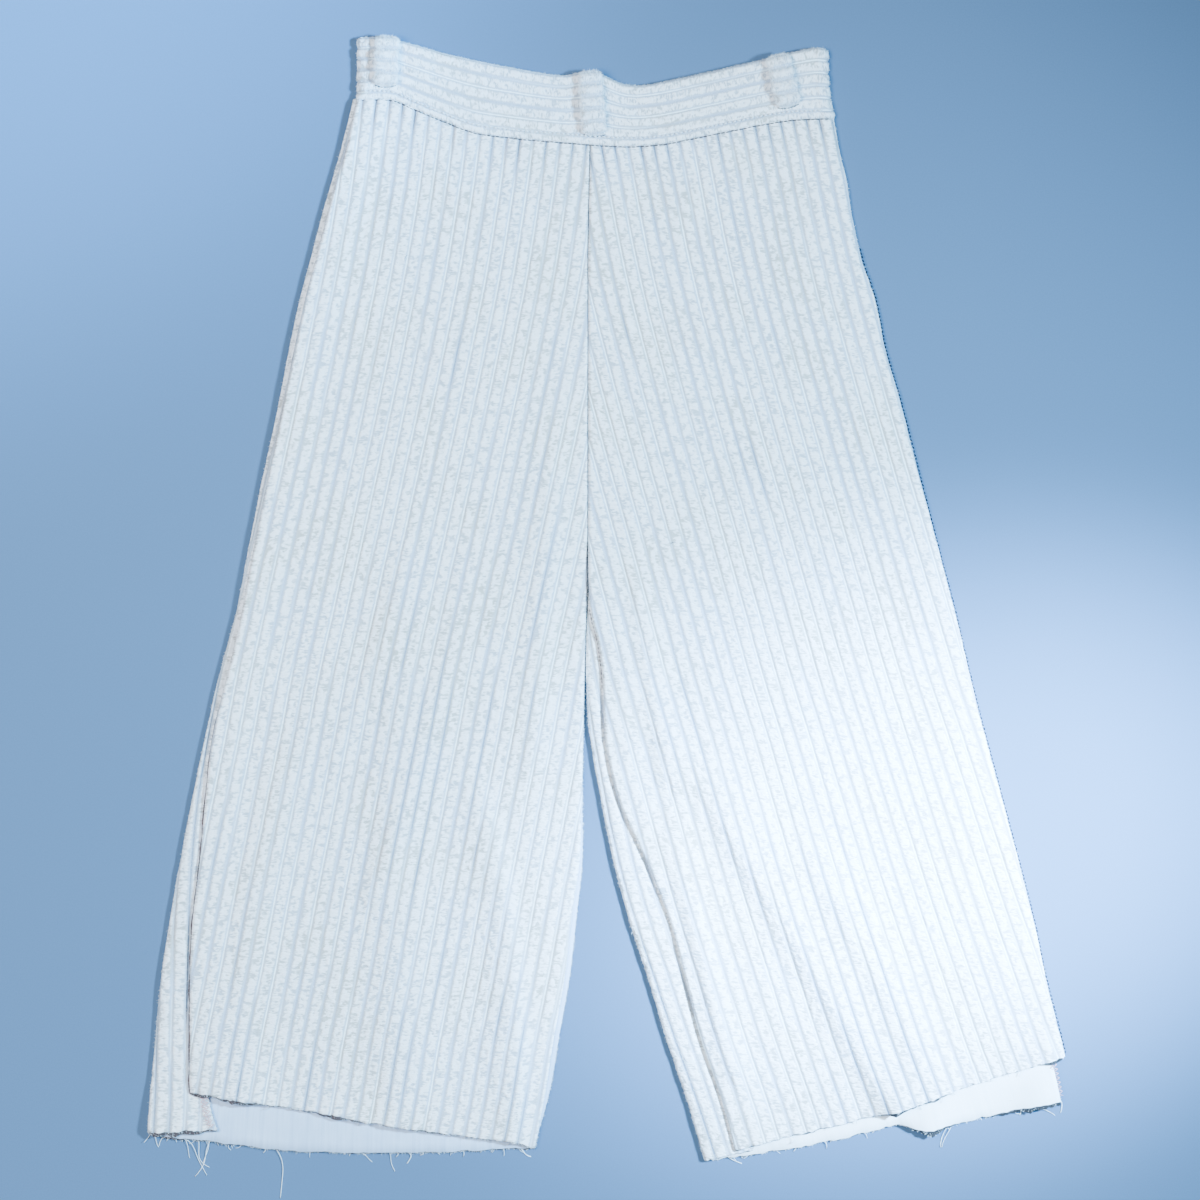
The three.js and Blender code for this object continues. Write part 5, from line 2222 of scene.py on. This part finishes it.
@dataclass(frozen=True)
class Sewing:
    """The seams' threads that show, by their distance from their seams; the slate lines are painted
    shadow and the brown lines are thread that also stands in for painted shade.
    """

    band_height: float = 9.6
    topstitch_above: float = 5.0
    band_seam_below: float = 1.5
    band_seam_height: float = 7.9
    loop_half: float = 8.6
    loop_sag: float = 1.9
    loop_cut: float = 7.5
    loop_cut_height: float = 15.2
    serging_apart: tuple[float, float, float] = (2.2, 0.8, 0.0)
    crotch_inside: float = 0.9
    side_outside: float = 1.2

    def build(self, threads: dict[str, Material], loops: list[BeltLoop]) -> list[Piece]:
        """Makes the sewing.

        Args:
            threads: The threads' materials, by their names.
            loops: The belt loops.

        Returns:
            The stitches that lie on the waistband.
        """
        x = np.linspace(-182, 162, 240)
        above = self.topstitch_above + 0.5 * (drift(x / 20, 0.0, 93) - 0.5)
        topstitch = line_at(x, BAND_BOTTOM(x) + above, self.band_height)
        x = np.linspace(-184, 166, 240)
        band_seam = line_at(x, BAND_BOTTOM(x) - self.band_seam_below, self.band_seam_height)
        across = np.linspace(-self.loop_half, self.loop_half, 15)
        bows = []
        cuts = []
        for loop in loops:
            x = loop.end[0] + across
            y = loop.end[1] + self.loop_sag * (across / self.loop_half) ** 2 - 1.7 + loop.slant * across
            bows.append(line_at(x, y, self.band_height))
            cuts.append(line_at(x, y + self.loop_cut, self.loop_cut_height))
        on_band = 4
        rows = (
            # The slate loop line is painted shadow under each loop's lower end, along its stitching.
            ("loop_end_shadow_thread", bows, SLATE_SHADOW_THREAD),
            ("loop_stitch_thread", cuts, WHITE_THREAD),
            ("band_topstitch", [topstitch], WHITE_THREAD),
            # The brown seam lines are thread that also stands in for the seams' painted shade.
            ("band_seam_thread_and_shade", [band_seam], BROWN_THREAD_AND_SHADE),
            ("hem_serging", self._serging(), PINK_THREAD),
            ("crotch_seam_thread_and_shade", [self._crotch()], BROWN_THREAD_AND_SHADE),
            # The slate side line is painted shadow along the right outer edge.
            ("side_edge_shadow_thread", [self._side()], SLATE_SHADOW_THREAD),
        )
        made = [
            Stitches(row, lines, **dict(zip(STITCH_COLUMNS, STITCHES[row]))).build(threads[finish.name])
            for row, lines, finish in rows
        ]
        return made[:on_band]

    def _serging(self) -> list[Field]:
        """Lines of the serging where the seams run out at the hems."""
        y = np.linspace(-371, -396, 24)
        left = line_at(LEFT_LEG.seam(y) + 10.6, y, 6.6 + 3.4 * ease((-352 - y) / 48))
        y = np.linspace(-347, -375, 24)
        right = line_at(RIGHT_LEG.far(y) - 11.5, y, 4.4)
        y = np.linspace(-411, -418, 12)
        inner = line_at(RIGHT_LEG.seam(y) - 6.0, y, 5.4)
        return [left, left - self.serging_apart, right, right + self.serging_apart, inner]

    def _crotch(self) -> Field:
        """The seam's line below the crotch."""
        y = np.linspace(-8, -70, 40)
        return line_at(RIGHT_LEG.seam(y) - self.crotch_inside, y, 7.0)

    def _side(self) -> Field:
        """The line just outside the right outer edge, a near-black thread drawn as painted shadow along
        the seam.
        """
        y = np.linspace(262, -344, 400)
        return line_at(RIGHT_LEG.far(y) + self.side_outside, y, 2.6)


@dataclass(frozen=True)
class Culottes:
    """The garment: its cuts, its loops and the fibres that stand out of them."""

    panels: tuple[Panel, ...] = (
        BackPanel(
            "back_left", LEFT_LEG, Wales(LEFT_STRIP_WALES), Nap(11), wale_range=(-40, 14),
            flat=(0.36, 0.80), area=0.225, cut_seed=23,
        ),
        BackPanel(
            "back_right", RIGHT_LEG, Wales(RIGHT_STRIP_WALES), Nap(13), wale_range=(-52, 14),
            flat=(0.36, 0.80), area=0.215, cut_seed=24, raggedness=1.2,
        ),
        FrontPanel(
            "front_left", LEFT_LEG, Wales(LEFT_WALES), Nap(3), wale_range=(-20, 32),
            flat=(0.28, 0.80), area=0.175, cut_seed=21,
        ),
        FrontPanel(
            "front_right", RIGHT_LEG, Wales(RIGHT_WALES), Nap(5), wale_range=(-34, 20),
            flat=(0.29, 0.79), area=0.185, cut_seed=22,
        ),
    )
    loops: tuple[BeltLoop, ...] = (
        BeltLoop("belt_loop_left", (-163.5, 419.5), (-165.5, 383.5), 71),
        BeltLoop("belt_loop_centre", (-13, 393.5), (-9, 346.5), 73),
        BeltLoop("belt_loop_right", (127, 405.5), (136, 368), 75, slant=0.2),
    )
    waistband: Waistband = field(default_factory=Waistband)
    fibres: tuple[Fuzz, ...] = (
        Fuzz(8000, 201),
        Fuzz(8000, 202, at_cut=0.8),
        Fuzz(20500, 203),
        Fuzz(20500, 204, at_cut=0.8),
        Fuzz(9000, 205, longest=1.9),
        *(Fuzz(3500, seed, longest=2.6) for seed in (206, 207, 208)),
    )

    def build(self) -> None:
        """Makes every piece."""
        pile = pile_group()
        ground = ground_group()
        twist = thread_group()
        grounds = (WRONG_SIDE, CUT_EDGE_SHADOW, DEEP_CUT_EDGE_SHADOW, LIT_WRONG_SIDE)
        wrong, cut, deep_cut_shadow, lit_wrong = (finish.material(ground) for finish in grounds)
        strands = (LOOSE_FIBRE, WHITE_THREAD, PINK_THREAD, BROWN_THREAD_AND_SHADE, DARK_LINT, SLATE_SHADOW_THREAD)
        threads = {finish.name: finish.material(twist, Twist=finish.twist) for finish in strands}
        cord = PileFinish("cord_pile").material(pile)
        # The right leg gets the paler painted-light wrong side and the darker painted-shadow cut edge;
        # the left gets the darker copies.
        cords = {Side.LEFT: [cord, wrong, cut], Side.RIGHT: [cord, lit_wrong, deep_cut_shadow]}
        band_cord = [PileFinish("cord_band", 1.1).material(pile), wrong, cut]
        loop_cord = [PileFinish("cord_loop", 1.3).material(pile), wrong, cut]
        panels = [panel.build(cords[panel.leg.side]) for panel in self.panels]
        band = self.waistband.build(band_cord)
        loops = [loop.build(loop_cord) for loop in self.loops]
        stitches = Sewing().build(threads, self.loops)
        LooseThreads().build(threads[WHITE_THREAD.name])
        Lint().build(threads[DARK_LINT.name])
        cloths = [*panels, band, *loops]
        fuzz = [one.build(cloth, threads[LOOSE_FIBRE.name]) for one, cloth in zip(self.fibres, cloths)]
        backs = [cloth.piece for cloth in panels[:2]]
        under = ["floor", "floor", *backs, "floor", *[band.piece] * len(loops)]
        with_pieces = [[one] for one in fuzz]
        with_pieces[len(panels)] += stitches
        cuts = [*self.panels, self.waistband, *self.loops]
        for one, cloth, rest, extra in zip(cuts, cloths, under, with_pieces):
            area = one.area if isinstance(one, Panel) else None


def corners(box: tuple) -> list[list[float]]:
    """A box's two corners as plain lists."""
    return [[float(number) for number in corner] for corner in box]


def main() -> None:
    """Builds the studio and the garment."""
    logging.basicConfig(level=logging.INFO, format="%(message)s")
    Studio().build()
    Culottes().build()


if __name__ == "__main__":
    main()
